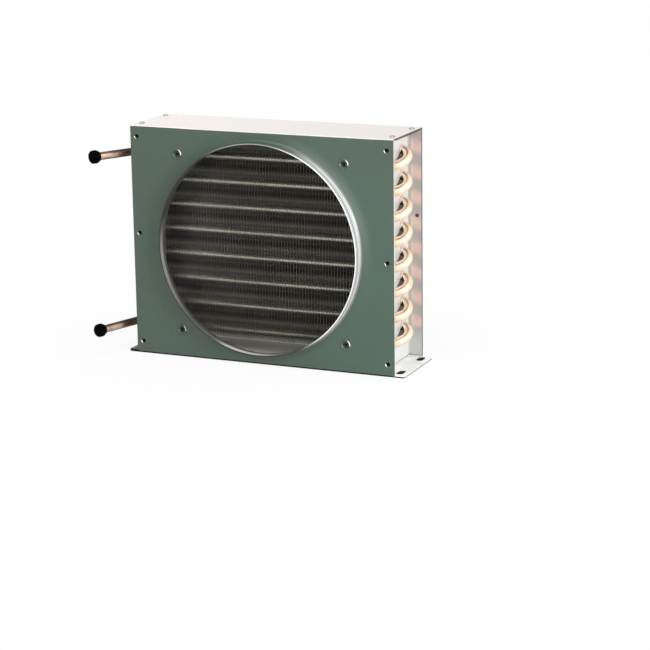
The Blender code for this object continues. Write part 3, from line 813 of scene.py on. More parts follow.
class Workpiece:
    """One mesh object, shaped step by step with Blender's modelling tools."""

    def __init__(self, name: str) -> None:
        """Take over the object that was just added, and fix its place in its mesh.

        Args:
            name: the piece's name.
        """
        self.body = bpy.context.active_object
        self.body.name = name
        self.body.data.name = name
        self.settle()

    @classmethod
    def block(cls, name: str, low: Sequence[float], high: Sequence[float]) -> "Workpiece":
        """Box between two corners.

        Args:
            name: the piece's name.
            low: its lowest corner.
            high: its highest corner.

        Returns:
            The box.
        """
        start_fresh()
        low, high = Vector(low), Vector(high)
        bpy.ops.mesh.primitive_cube_add(size=1.0, location=(low + high) / 2, scale=high - low)
        return cls(name)

    @classmethod
    def sheet(
        cls, name: str, facing: Facing, centre: Sequence[float], size: Sequence[float]
    ) -> "Workpiece":
        """Flat rectangle without thickness.

        Args:
            name: the piece's name.
            facing: the axis that it faces.
            centre: its middle.
            size: its extent along X, Y and Z.

        Returns:
            The sheet.
        """
        start_fresh()
        bpy.ops.mesh.primitive_plane_add(size=1.0, location=centre, rotation=facing.value)
        bpy.context.active_object.scale = facing.spread(size)
        return cls(name)

    @classmethod
    def rod(
        cls, name: str, radius: float, start: Sequence[float], end: Sequence[float], sides: int
    ) -> "Workpiece":
        """Solid cylinder between two points.

        Args:
            name: the piece's name.
            radius: its radius.
            start: the middle of one end.
            end: the middle of the other end.
            sides: number of sides.

        Returns:
            The cylinder.
        """
        start_fresh()
        start, end = Vector(start), Vector(end)
        turn = (end - start).to_track_quat("Z", "Y").to_euler()
        bpy.ops.mesh.primitive_cylinder_add(
            vertices=sides,
            radius=radius,
            depth=(end - start).length,
            location=(start + end) / 2,
            rotation=turn,
        )
        return cls(name)

    def hold(self) -> None:
        """Make this the only selected object, and the active one."""
        start_fresh()
        self.body.select_set(True)
        bpy.context.view_layer.objects.active = self.body

    def settle(self) -> None:
        """Move the object's place, turn and size into its mesh."""
        self.hold()
        bpy.ops.object.transform_apply(location=True, rotation=True, scale=True)

    @contextmanager
    def bench(self, mode: str = "EDGE") -> Iterator[None]:
        """Edit mode with nothing selected, until the block ends.

        Args:
            mode: VERT, EDGE or FACE, what is selected.
        """
        self.hold()
        bpy.ops.object.mode_set(mode="EDIT")
        bpy.ops.mesh.select_mode(type=mode)
        bpy.ops.mesh.select_all(action="DESELECT")
        yield
        bpy.ops.object.mode_set(mode="OBJECT")

    def pick(self, test: Place, boundary: bool = False) -> None:
        """Select the edges or vertices whose points all pass a test.

        Args:
            test: the test of a point.
            boundary: select only edges that border one face or none.
        """
        bpy.ops.mesh.select_all(action="DESELECT")
        mesh = bmesh.from_edit_mesh(self.body.data)
        if "EDGE" in mesh.select_mode:
            for edge in mesh.edges:
                if all(test(corner.co) for corner in edge.verts):
                    edge.select_set(len(edge.link_faces) < 2 or not boundary)
        else:
            for corner in mesh.verts:
                corner.select_set(test(corner.co))
            mesh.select_flush_mode()
        bmesh.update_edit_mesh(self.body.data)

    def pick_faces(self, test: Callable[[Vector, Vector], bool]) -> None:
        """Select the faces whose middle and normal pass a test."""
        bpy.ops.mesh.select_mode(type="FACE")
        bpy.ops.mesh.select_all(action="DESELECT")
        mesh = bmesh.from_edit_mesh(self.body.data)
        for face in mesh.faces:
            face.select_set(test(face.calc_center_median(), face.normal))
        bmesh.update_edit_mesh(self.body.data)

    def modify(self, kind: str, **settings: object) -> "Workpiece":
        """Add a modifier and apply it.

        Args:
            kind: the modifier's type.
            settings: its properties.

        Returns:
            This piece.
        """
        self.hold()
        modifier = self.body.modifiers.new(kind.lower(), kind)
        for name, value in settings.items():
            setattr(modifier, name, value)
        bpy.ops.object.modifier_apply(modifier=modifier.name)
        return self

    def thicken(self, thickness: float, offset: float) -> "Workpiece":
        """Give a sheet its wall, to both sides for offset 0 and inwards for -1."""
        return self.modify("SOLIDIFY", thickness=thickness, offset=offset, use_even_offset=True)

    def soften(self, width: float, segments: int = 2, angle: float = 35.0) -> "Workpiece":
        """Round the edges that are sharper than so many degrees."""
        return self.modify(
            "BEVEL",
            width=width,
            segments=segments,
            limit_method="ANGLE",
            angle_limit=math.radians(angle),
            use_clamp_overlap=True,
        )

    def pierce(self, tools: Sequence["Workpiece"]) -> "Workpiece":
        """Cut tools out of the piece, and remove them.

        Args:
            tools: the solids to cut away.

        Returns:
            This piece.
        """
        tool = tools[0].join(tools[1:]) if len(tools) > 1 else tools[0]
        self.modify("BOOLEAN", operation="DIFFERENCE", solver="EXACT", object=tool.body)
        tool.scrap()
        return self

    def join(self, others: Sequence["Workpiece"]) -> "Workpiece":
        """Make other pieces part of this one's mesh.

        Args:
            others: the pieces to take in.

        Returns:
            This piece.
        """
        self.hold()
        for other in others:
            other.body.select_set(True)
        bpy.ops.object.join()
        return self

    def scrap(self) -> None:
        """Remove the piece."""
        mesh = self.body.data
        bpy.data.objects.remove(self.body)
        bpy.data.meshes.remove(mesh)

    def copy(self, name: str, change: Matrix | Sequence[float]) -> "Workpiece":
        """Make a copy with a mesh of its own.

        Args:
            name: the copy's name.
            change: a matrix, or the step to move by.

        Returns:
            The copy.
        """
        self.hold()
        bpy.ops.object.duplicate(linked=False)
        moved = change if isinstance(change, Matrix) else Matrix.Translation(change)
        bpy.context.active_object.matrix_world = moved
        return Workpiece(name)

    def array(self, count: int, step: Sequence[float], **settings: object) -> "Workpiece":
        """Repeat the piece in its own mesh.

        Args:
            count: how many times it stands there.
            step: from one to the next.
            settings: more properties of the modifier.

        Returns:
            This piece.
        """
        settings |= {"count": count, "constant_offset_displace": step}
        settings |= {"use_relative_offset": False, "use_constant_offset": True}
        return self.modify("ARRAY", **settings)

    def series(self, pattern: str, steps: Sequence[Sequence[float]]) -> "list[Workpiece]":
        """This piece with copies of it, which are numbered from 2.

        Args:
            pattern: the copies' names, with {} for the number.
            steps: how far each one is moved.

        Returns:
            All the pieces in order.
        """
        copies = [self.copy(pattern.format(n), step) for n, step in enumerate(steps, start=2)]
        return [self, *copies]

    def fuse(self, turn_out: bool = True) -> "Workpiece":
        """Merge doubled points and turn the faces outwards.

        Args:
            turn_out: whether the faces are turned too.

        Returns:
            This piece.
        """
        with self.bench("VERT"):
            bpy.ops.mesh.select_all(action="SELECT")
            bpy.ops.mesh.remove_doubles(threshold=MERGE_DISTANCE)
            if turn_out:
                bpy.ops.mesh.normals_make_consistent(inside=False)
        return self

    def dress(self, finish: Finish, *nodes: str, smooth: float = 32.0) -> "Workpiece":
        """Shade, paint and mount the piece in place of its CAD nodes.

        Args:
            finish: the surface finish.
            nodes: the CAD nodes that it stands for.
            smooth: edges flatter than this many degrees shade smoothly.

        Returns:
            This piece.
        """
        self.hold()
        bpy.ops.object.shade_smooth_by_angle(angle=math.radians(smooth))
        self.modify("WEIGHTED_NORMAL", keep_sharp=True, weight=60)
        materials = self.body.data.materials
        if materials:
            materials[0] = finish.material()
        else:
            materials.append(finish.material())
        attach(self.body, BODY)
        if nodes:
            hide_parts(*nodes)
        LOG.info("%s: %d faces", self.body.name, len(self.body.data.polygons))
        return self

    def second_finish(
        self, finish: Finish, test: Callable[[Vector, Vector], bool]
    ) -> "Workpiece":
        """Give some faces another finish.

        Args:
            finish: the other finish.
            test: picks faces by their middle and normal.

        Returns:
            This piece.
        """
        self.body.data.materials.append(finish.material())
        with self.bench("FACE"):
            self.pick_faces(test)
            self.body.active_material_index = len(self.body.data.materials) - 1
            bpy.ops.object.material_slot_assign()
        return self


class RingPen:
    """Draws a round body ring by ring: straights, bends and changes of radius."""

    def __init__(
        self, name: str, at: Sequence[float], heading: Sequence[float], radius: float, sides: int
    ) -> None:
        """Start with a closed end.

        Args:
            name: the piece's name.
            at: the middle of the first ring.
            heading: the direction to draw in.
            radius: the first ring's radius.
            sides: number of sides.
        """
        start_fresh()
        self.at = Vector(at)
        self.heading = Vector(heading).normalized()
        self.radius = radius
        turn = self.heading.to_track_quat("Z", "Y").to_euler()
        add_ring(radius, self.at, turn, sides, "NGON")
        self.piece = Workpiece(name)
        bpy.ops.object.mode_set(mode="EDIT")
        bpy.ops.mesh.select_mode(type="EDGE")
        bpy.ops.mesh.select_all(action="SELECT")

    def run(self, length: float, radius: float | None = None) -> "RingPen":
        """Draw straight on, or back for a negative length.

        Args:
            length: distance along the heading.
            radius: the new radius, or None to keep it.

        Returns:
            This pen.
        """
        step = self.heading * length
        bpy.ops.mesh.extrude_edges_move(TRANSFORM_OT_translate={"value": step})
        self.at = self.at + step
        if radius is not None and radius != self.radius:
            factor = radius / self.radius
            bpy.ops.transform.resize(value=(factor,) * 3, center_override=self.at)
            self.radius = radius
        return self

    def runs(self, *steps: tuple[float, float]) -> "RingPen":
        """Draw several straights, each given as (length, new radius).

        Args:
            steps: the straights in order.

        Returns:
            This pen.
        """
        for length, radius in steps:
            self.run(length, radius)
        return self

    def profile(self, points: Sequence[tuple[float, float]]) -> "RingPen":
        """Draw rings at (distance from here, radius) along the heading.

        Args:
            points: distances and radii in order.

        Returns:
            This pen.
        """
        here = 0.0
        for distance, radius in points:
            self.run(distance - here, radius)
            here = distance
        return self

    def bend(self, toward: Vector, radius: float, angle: float, steps: int) -> "RingPen":
        """Draw an arc.

        Args:
            toward: direction from here to the arc's centre.
            radius: the arc's radius.
            angle: how far to turn, in radians.
            steps: number of facets.

        Returns:
            This pen.
        """
        toward = toward.normalized()
        centre = self.at + toward * radius
        axis = self.heading.cross(toward).normalized()
        bpy.ops.mesh.spin(steps=steps, dupli=False, angle=-angle, center=centre, axis=axis)
        turn = Matrix.Rotation(angle, 3, axis)
        self.at = centre + turn @ (self.at - centre)
        self.heading = turn @ self.heading
        return self

    def lift(self) -> Workpiece:
        """Close the last ring and leave edit mode.

        Returns:
            The finished piece.
        """
        bpy.ops.mesh.edge_face_add()
        bpy.ops.object.mode_set(mode="OBJECT")
        return self.piece.fuse()


# ------------------------------------------------------------------ shared sizes


@dataclass(frozen=True)
class Case:
    """Sizes of the case that several sub-assemblies share."""

    half_width: float = 0.1417
    half_depth: float = 0.03905
    height: float = 0.2352
    sheet: float = 0.001
    recess: float = 0.0145
    base: float = 0.0025
    gap: float = 0.0003
    fixing_x: float = 0.1346
    fixing_radius: float = 0.0022
    fixing_left: tuple[float, ...] = (0.0128, 0.1256, 0.2242)
    fixing_right: tuple[float, ...] = (0.0128, 0.1139, 0.2242)
    screw_x: float = 0.1352
    screw_y: tuple[float, float] = (-0.02555, 0.02645)

    @property
    def web(self) -> float:
        """Distance of the end plates' outer faces from the middle."""
        return self.half_width - self.recess

    @property
    def plate_front(self) -> float:
        """Front face of the end plates, just behind the fan panel."""
        return -self.half_depth + self.sheet + self.gap

    @property
    def plate_top(self) -> float:
        """Upper face of the end plates, just under the top plate."""
        return self.height - self.sheet - self.gap

    def fixings(self, side: int) -> list[tuple[float, float]]:
        """Centres (x, z) of the fixing holes on the left (-1) or right (1)."""
        heights = self.fixing_right if side > 0 else self.fixing_left
        return [(side * self.fixing_x, height) for height in heights]

    @property
    def all_fixings(self) -> list[tuple[float, float]]:
        """Centres (x, z) of all the fixing holes."""
        return self.fixings(-1) + self.fixings(1)


@dataclass(frozen=True)
class Circuit:
    """Sizes of the tube circuit that the fins and end plates share."""

    radius: float = 0.00476
    pitch: float = TUBE_PITCH
    row_pitch: float = 0.022
    rows_front: float = FRONT_ROW
    count: int = 8
    lowest: float = LOWEST_TUBE
    fin_low: float = 0.01885
    bell_radius: float = 0.0057
    socket_radius: float = 0.00506
    shoulder: float = 0.0012
    bell: float = 0.006

    def tube(self, index: int, row: int) -> tuple[float, float]:
        """Centre (y, z) of tube 0, 1, 2 ... from the top in the front (0) or rear (1) row."""
        height = self.lowest + row * self.pitch / 2 + (self.count - 1 - index) * self.pitch
        return self.rows_front + row * self.row_pitch, height


# --------------------------------------------------------------- sub-assemblies


@dataclass
class FanPanel:
    """Painted front sheet with the collared fan opening and its pierced holes."""

    case: Case
    opening: float = 0.106
    middle: float = 0.1185
    collar: float = 0.0123
    root: float = 0.0022
    drop: float = 0.0016
    bracket: float = 0.090
    lip: float = 0.0054
    bore: float = 0.0029
    rise: float = 0.0010
    nut_flange: float = 0.0045
    nut_bore: float = 0.0016
    nut_length: float = 0.0045
    margin: float = 0.0008
    lip_margin: float = 0.0006
    rim: float = 0.0031
    insert_radius: float = 0.0033
    insert_bore: float = 0.0017
    insert_length: float = 0.0042
    skin: float = 5e-5
    paint: Finish = field(default_factory=SatinPaint)
    bare: Finish = field(default_factory=Galvanised)
    black: Finish = field(default_factory=BlackOxide)

    @property
    def flat_radius(self) -> float:
        """Radius of the collar's hole while the panel is still flat."""
        return self.opening + self.case.sheet + self.root + self.margin

    def brackets(self) -> list[tuple[float, float]]:
        """Centres (x, z) of the four raised holes."""
        reach = self.bracket
        return [(x, self.middle + z) for x in (-reach, reach) for z in (-reach, reach)]

    def outline(self) -> Workpiece:
        """Flat face of the panel with all its holes still plain.

        Returns:
            The sheet, without thickness.
        """
        case = self.case
        front = -case.half_depth
        height = case.plate_top - self.drop
        centre = (0.0, front, self.drop + height / 2)
        sheet = Workpiece.sheet("fan_panel", Facing.Y, centre, (2 * case.half_width, 0, height))
        rings = [(0.0, self.middle, self.flat_radius, 128)]
        rings += [(x, z, self.lip + self.lip_margin, 28) for x, z in self.brackets()]
        rings += [(x, z, self.rim, 24) for x, z in case.all_fixings]
        with sheet.bench("FACE"):
            bpy.ops.mesh.select_all(action="SELECT")
            bpy.ops.mesh.delete(type="ONLY_FACE")
            for x, z, radius, sides in rings:
                add_ring(radius, (x, front, z), Facing.Y.value, sides)
            bpy.ops.mesh.select_all(action="SELECT")
            bpy.ops.mesh.fill(use_beauty=True)
        return sheet

    def draw_edge(
        self, sheet: Workpiece, centre: tuple[float, float], radius: float,
        rings: Sequence[tuple[float, float]],
    ) -> None:
        """Form a hole's edge by drawing it through rings.

        Args:
            sheet: the panel.
            centre: the hole's centre (x, z).
            radius: the plain hole's radius.
            rings: (radius, distance in front of the panel) of each ring.
        """
        x, z = centre
        front = -self.case.half_depth

        def on_rim(point: Vector) -> bool:
            """Whether a point is on the plain hole's edge."""
            return abs(math.hypot(point.x - x, point.z - z) - radius) < PICK_DISTANCE

        sheet.pick(on_rim, boundary=True)
        size, depth = radius, 0.0
        for wide, out in rings:
            step = (0.0, depth - out, 0.0)
            bpy.ops.mesh.extrude_edges_move(TRANSFORM_OT_translate={"value": step})
            if abs(wide - size) > 1e-7:
                middle = (x, front - out, z)
                bpy.ops.transform.resize(value=(wide / size,) * 3, center_override=middle)
            size, depth = wide, out

    def collar_rings(self) -> list[tuple[float, float]]:
        """Rings of the fan collar: flat margin, rounded root, wall and rolled rim."""
        outer = self.opening + self.case.sheet
        rings = []
        for i in range(7):
            angle = math.pi / 2 * i / 6
            radius = outer + self.root * (1 - math.sin(angle))
            rings.append((radius, self.root * (1 - math.cos(angle))))
        return rings + [(outer, self.collar * 0.6), (outer, self.collar)]

    def lip_rings(self) -> list[tuple[float, float]]:
        """Rings of a raised hole: flat margin, crest and the fall to the bore."""
        rings = []
        for i in range(8):
            part = i / 7
            radius = self.lip + (self.bore - self.lip) * part
            rings.append((radius, self.rise * math.sin(math.pi * min(1.0, part * 1.25) ** 0.9)))
        return [(radius, max(0.0, out)) for radius, out in rings]

    def build(self) -> None:
        """Make the panel and the clinch nuts behind its raised holes."""
        sheet = self.outline()
        with sheet.bench("EDGE"):
            self.draw_edge(sheet, (0.0, self.middle), self.flat_radius, self.collar_rings())
            for centre in self.brackets():
                self.draw_edge(sheet, centre, self.lip + self.lip_margin, self.lip_rings())
            burr = [(0.0028, 0.00022), (0.0025, 0.00026), (self.case.fixing_radius, 0.0)]
            for centre in self.case.all_fixings:
                self.draw_edge(sheet, centre, self.rim, burr)
        sheet.fuse(turn_out=False)
        sheet.thicken(self.case.sheet, -1.0).soften(0.00022, 2, 50.0)
        sheet.dress(self.paint, "fan_shroud", smooth=38.0)
        # Bare zinc on the lit sides and the right edge is a painted highlight; black oxide in the
        # bores is painted shade.
        sheet.second_finish(self.bare, self.is_painted_highlight)
        sheet.second_finish(self.black, self.is_dark)
        self.nuts()
        self.inserts()

    def is_painted_highlight(self, at: Vector, normal: Vector) -> bool:
        """Whether a face gets bare zinc as a painted highlight: a lip's or fixing hole's lit side,
        or the right edge.
        """
        for x, z in self.brackets():
            lit = 0.92 * (at.x - x) + 0.39 * (at.z - z)
            if lit > self.lip * 0.70 and math.hypot(at.x - x, at.z - z) < self.lip * 0.94:
                return True
        if normal.x > 0.6 and at.x > self.case.half_width - 0.0003:
            return True
        return at.y < -self.case.half_depth - self.skin and any(
            math.hypot(at.x - x, at.z - z) < self.rim
            and 0.85 * (x - at.x) + 0.52 * (z - at.z) > 0.0021
            for x, z in self.case.all_fixings
        )

    def is_dark(self, at: Vector, normal: Vector) -> bool:
        """Whether a face is painted black as shade: in a raised hole's bore, or in a fixing hole
        behind the front.
        """
        spots = self.case.all_fixings
        if any(math.hypot(at.x - x, at.z - z) < self.lip * 0.62 for x, z in self.brackets()):
            return True
        behind = at.y > self.skin - self.case.half_depth
        return behind and any(math.hypot(at.x - x, at.z - z) < self.rim for x, z in spots)

    def inserts(self) -> None:
        """Blind threaded inserts behind the plain fixing holes."""
        start = self.case.plate_front + self.case.sheet + self.case.gap
        spots = self.case.all_fixings
        x, z = spots[0]
        deep = self.insert_length * 0.8
        pen = RingPen("fixing_insert_1", (x, start + deep, z), (0, -1, 0), self.insert_bore, 20)
        wide = self.insert_radius
        pen.runs((deep, self.insert_bore), (0.0, wide), (-self.insert_length, wide))
        steps = [(px - x, 0.0, pz - z) for px, pz in spots[1:]]
        for piece in pen.lift().series("fixing_insert_{}", steps):
            piece.dress(self.black)

    def nuts(self) -> None:
        """Threaded clinch nuts, one modelled and three copied."""
        thread = []
        for i in range(9):
            radius = self.nut_bore + (0.00018 if i % 2 else 0.0)
            thread.append((self.case.gap + 0.0003 + i * 0.00042, radius))
        shank = self.bore - 0.0003
        shoulder = self.case.sheet + self.case.gap
        places = self.brackets()
        x, z = places[0]
        at = (x, -self.case.half_depth + self.nut_length - 0.0002, z)
        pen = RingPen("fan_nut_1", at, (0, -1, 0), self.nut_bore * 0.98, 24)
        end = self.nut_length - 0.0002
        for distance, radius in reversed(thread):
            pen.run(end - distance, radius)
            end = distance
        pen.runs(
            (end - self.case.gap, self.nut_bore + 0.0002),
            (0.0, shank - 0.0002),
            (-0.0002, shank),
            (-(shoulder - self.case.gap - 0.0002), shank),
            (0.0, self.nut_flange),
            (-(self.nut_length - shoulder), self.nut_flange),
        )
        steps = [(px - x, 0.0, pz - z) for px, pz in places[1:]]
        for number, piece in enumerate(pen.lift().series("fan_nut_{}", steps), start=1):
            piece.dress(self.black, f"fan_fixing_nut_{number}")


@dataclass
class EndPlates:
    """Two folded end plates that carry the tubes."""

    case: Case
    circuit: Circuit
    fold: float = 0.0015
    fold_steps: int = 6
    relief: float = 0.003
    seam: float = 0.016
    rear_hole: tuple[float, float, float] = (0.1359, 0.1467, 0.0021)
    hole_radius: float = 0.0056
    fixing_clear: float = 0.0008  # keeps bright zinc from showing in the panel's holes
    screw_hole: float = 0.0018
    edge_band: float = 1e-4
    zinc: Finish = field(default_factory=PlateZinc)
    raw: Finish = field(default_factory=CutEdge)
    hole_shade: Finish = field(default_factory=BlackOxide)

    def folded(self, name: str, side: int) -> Workpiece:
        """Middle surface of a plate: the web, then its four flanges spun and drawn out.

        Args:
            name: the piece's name.
            side: -1 for the left plate and 1 for the right one.

        Returns:
            The folded sheet, without thickness.
        """
        case, half = self.case, self.case.sheet / 2
        front, rear = case.plate_front + half, case.half_depth - half
        low, high = case.base + case.gap + half, case.plate_top - half
        web_x, r = side * (case.web - half), self.fold
        centre = (web_x, (front + rear) / 2, (low + high) / 2)
        size = (0, rear - front - 2 * r, high - low - 2 * r)
        plate = Workpiece.sheet(name, Facing.X, centre, size)
        flat_y = (front + r, rear - r)
        flat_z = (low + r, high - r)
        cut = self.relief - r
        with plate.bench("FACE"):
            for axis, values in ((1, flat_y), (2, flat_z)):
                for value in (values[0] + cut, values[1] - cut):
                    point, normal = [0.0, 0.0, 0.0], [0.0, 0.0, 0.0]
                    point[axis], normal[axis] = value, 1.0
                    bpy.ops.mesh.select_all(action="SELECT")
                    bpy.ops.mesh.bisect(plane_co=point, plane_no=normal)
        out = case.half_width - case.gap
        folds = (
            (1, flat_y[0], -1, 2, flat_z, out),
            (1, flat_y[1], 1, 2, flat_z, out),
            (2, flat_z[1], 1, 1, flat_y, out),
            (2, flat_z[0], -1, 1, flat_y, case.web - half - self.seam),
        )
        for across, edge, away, along, span, reach in folds:
            self.fold_flange(plate, web_x, across, edge, away, along, span, side * reach)
        ends = ((flat_z[0] + cut, case.base + case.gap), (flat_z[1] - cut, case.plate_top))
        with plate.bench("VERT"):
            for old, new in ends:
                near = PICK_DISTANCE
                plate.pick(lambda p: (p.x - web_x) * side > near and abs(p.z - old) < near)
                bpy.ops.transform.translate(value=(0.0, 0.0, new - old))
        return plate

    def fold_flange(
        self, plate: Workpiece, web_x: float, across: int, edge: float, away: int,
        along: int, span: tuple[float, float], reach: float,
    ) -> None:
        """Fold one flange off the web.

        Args:
            plate: the plate.
            web_x: the web's middle surface.
            across: axis from the web to the flange, 1 or 2.
            edge: where the web's flat ends on that axis.
            away: direction from the web on that axis.
            along: the other axis in the web.
            span: the web's flat on the other axis.
            reach: X of the flange's free edge.
        """
        cut = self.relief - self.fold
        low, high = span[0] + cut, span[1] - cut
        sense = 1 if reach > web_x else -1

        def on_edge(point: Vector) -> bool:
            """Whether a point is on the edge that the flange is folded from."""
            near = MERGE_DISTANCE
            inside = low - near < point[along] < high + near
            return abs(point[across] - edge) < near and inside and abs(point.x - web_x) < near

        centre = Vector((web_x + sense * self.fold, 0.0, 0.0))
        centre[across] = edge
        heading = Vector((0.0, 0.0, 0.0))
        heading[across] = away
        axis = heading.cross(Vector((sense, 0.0, 0.0)))
        with plate.bench("EDGE"):
            plate.pick(on_edge, boundary=True)
            bpy.ops.mesh.spin(
                steps=self.fold_steps, dupli=False, angle=-math.pi / 2, center=centre, axis=axis
            )
            step = (reach - (web_x + sense * self.fold), 0.0, 0.0)
            bpy.ops.mesh.extrude_edges_move(TRANSFORM_OT_translate={"value": step})

    def drills(self, side: int) -> list[Workpiece]:
        """Tools for the tube, fixing, screw and rear holes.

        Args:
            side: -1 for the left plate and 1 for the right one.

        Returns:
            The cylinders to cut away.
        """
        case = self.case
        tools = []

        def drill(axis: int, at: Sequence[float], low: float, high: float, size: float,
                  sides: int) -> None:
            """Add a cylinder that runs from low to high along an axis beside its place."""
            ends = [[v + (d if i == axis else 0.0) for i, v in enumerate(at)] for d in (low, high)]
            tools.append(Workpiece.rod("drill", size, *ends, sides))

        for row in (0, 1):
            for index in range(self.circuit.count):
                y, z = self.circuit.tube(index, row)
                at = (side * (case.web - 0.0005), y, z)
                drill(0, at, side * -0.003, side * 0.003, self.hole_radius, 28)
        radius = case.fixing_radius + self.fixing_clear
        for x, z in case.fixings(side):
            drill(1, (x, case.plate_front, z), -0.002, 0.003, radius, 20)
        for y in case.screw_y:
            drill(2, (side * case.screw_x, y, case.plate_top), -0.003, 0.002, self.screw_hole, 16)
        x, z, radius = self.rear_hole
        drill(1, (side * x, case.half_depth, z), -0.003, 0.002, radius, 20)
        return tools

    def build(self) -> None:
        """Make both plates."""
        edge = self.case.half_width - self.case.gap - self.edge_band
        for name, side in (("end_plate_left", -1), ("end_plate_right", 1)):
            plate = self.folded(name, side).fuse(turn_out=False)
            plate.thicken(self.case.sheet, 0.0).pierce(self.drills(side))
            plate.fuse().soften(0.00012, 1, 60.0)
            plate.body.name = name + "_dressed"
            plate.dress(self.zinc, name)
            plate.second_finish(self.raw, lambda at, normal: abs(at.x) > edge and at.y > -0.03)
            # A black disc sits in each rear hole, a painted shade in place of the open hole.
            x, z, radius = self.rear_hole
            ends = [(side * x, self.case.half_depth - depth, z) for depth in (0.0009, 0.0003)]
            plug = Workpiece.rod(f"rear_hole_shade_{name[10:]}", radius - 0.0001, *ends, 20)
            plug.soften(0.00015, 1).dress(self.hole_shade)


@dataclass
class CoverPlates:
    """Top plate with its screws, and the base plate with its slotted feet."""

    case: Case
    overhang: float = 0.0097
    slot_width: float = 0.007
    slot_length: float = 0.0135
    slot_x: float = 0.14365
    slot_y: float = 0.02705
    head_radius: float = 0.0026
    head_height: float = 0.0014
    shank: float = 0.0014
    shank_length: float = 0.006
    edge_band: float = 2e-4
    cover: Finish = field(default_factory=CoverZinc)
    zinc: Finish = field(default_factory=BaseZinc)
    raw: Finish = field(default_factory=CutEdge)
    sheared: Finish = field(default_factory=BaseEdge)
    plated: Finish = field(default_factory=ZincPlate)

    def top(self) -> None:
        """Flat cover with four screw holes."""
        case = self.case
        low = (-case.half_width, -case.half_depth, case.height - case.sheet)
        high = (case.half_width, case.half_depth, case.height)
        plate = Workpiece.block("top_plate_dressed", low, high)
        tools = []
        for side in (-1, 1):
            for y in case.screw_y:
                ends = [(side * case.screw_x, y, case.height + d) for d in (-0.002, 0.001)]
                tools.append(Workpiece.rod("drill", self.shank + 0.0003, *ends, 16))
        plate.pierce(tools).soften(0.00025, 2, 60.0)
        plate.dress(self.cover, "top_plate")
        edge = case.half_width - self.edge_band
        plate.second_finish(self.raw, lambda at, normal: abs(at.x) > edge)

    def slot_tool(self, x: float, y: float) -> Workpiece:
        """Long hole tool, a cylinder whose two halves are moved apart.

        Args:
            x: the slot's centre.
            y: the slot's centre.

        Returns:
            The tool.
        """
        ends = [(x, y, self.case.base + d) for d in (-0.005, 0.002)]
        tool = Workpiece.rod("slot_tool", self.slot_width / 2, *ends, 32)
        stretch = (self.slot_length - self.slot_width) / 2
        with tool.bench("VERT"):
            for side in (-1, 1):
                tool.pick(lambda point: (point.y - y) * side > MERGE_DISTANCE)
                bpy.ops.transform.translate(value=(0.0, side * stretch, 0.0))
        return tool

    def base(self) -> None:
        """Base sheet that stands out past the case as two slotted feet."""
        case = self.case
        half = case.half_width + self.overhang
        low = (-half, case.plate_front, 0.0)
        plate = Workpiece.block("base_plate_dressed", low, (half, case.half_depth, case.base))
        tools = [
            self.slot_tool(x, y)
            for x in (-self.slot_x, self.slot_x)
            for y in (-self.slot_y, self.slot_y)
        ]
        plate.pierce(tools).soften(0.0003, 2, 60.0)
        plate.dress(self.zinc, "base_plate")
        edge = half - self.edge_band
        front = case.plate_front + self.edge_band
        plate.second_finish(self.sheared, lambda at, normal: abs(at.x) > edge or at.y < front)
        rear = case.half_depth - self.edge_band
        plate.second_finish(
            self.raw,
            lambda at, normal: abs(normal.z) < 0.5 and abs(at.x) < edge and front < at.y < rear,
        )

    def screws(self) -> None:
        """Pan-head screws with a cross recess, one modelled and three copied."""
        case = self.case
        x, y = -case.screw_x, case.screw_y[0]
        crown = self.head_height + case.gap
        bottom = case.height - self.shank_length
        pen = RingPen("top_screw_1_dressed", (x, y, bottom), (0, 0, 1), 0.0003, 20)
        rise = self.shank_length + case.gap
        wide = self.head_radius
        pen.profile([(0.001, self.shank * 0.8), (rise, self.shank * 0.8), (rise, wide * 0.97),
                     (rise + 0.0002, wide), (rise + 0.0005, wide)])
        pen.profile([(0.0003, wide * 0.92), (0.00055, wide * 0.74), (0.0007, wide * 0.5),
                     (crown - case.gap - 0.0005 - 0.00055, wide * 0.2)])
        screw = pen.lift()
        arm, half_arm, depth = 0.0013, 0.0003, 0.0008
        top = case.height + crown + 0.0005
        for a, b in ((arm, half_arm), (half_arm, arm)):
            low, high = (x - a, y - b, top - 0.0005 - depth), (x + a, y + b, top)
            screw.pierce([Workpiece.block("cross", low, high)])
        places = [(px, py) for px in (-case.screw_x, case.screw_x) for py in case.screw_y]
        steps = [(px - x, py - y, 0.0) for px, py in places[1:]]
        for number, piece in enumerate(screw.series("top_screw_{}_dressed", steps), start=1):
            piece.dress(self.plated, f"top_screw_{number}")

    def build(self) -> None:
        """Make the plates and screws."""
        self.top()
        self.base()
        self.screws()


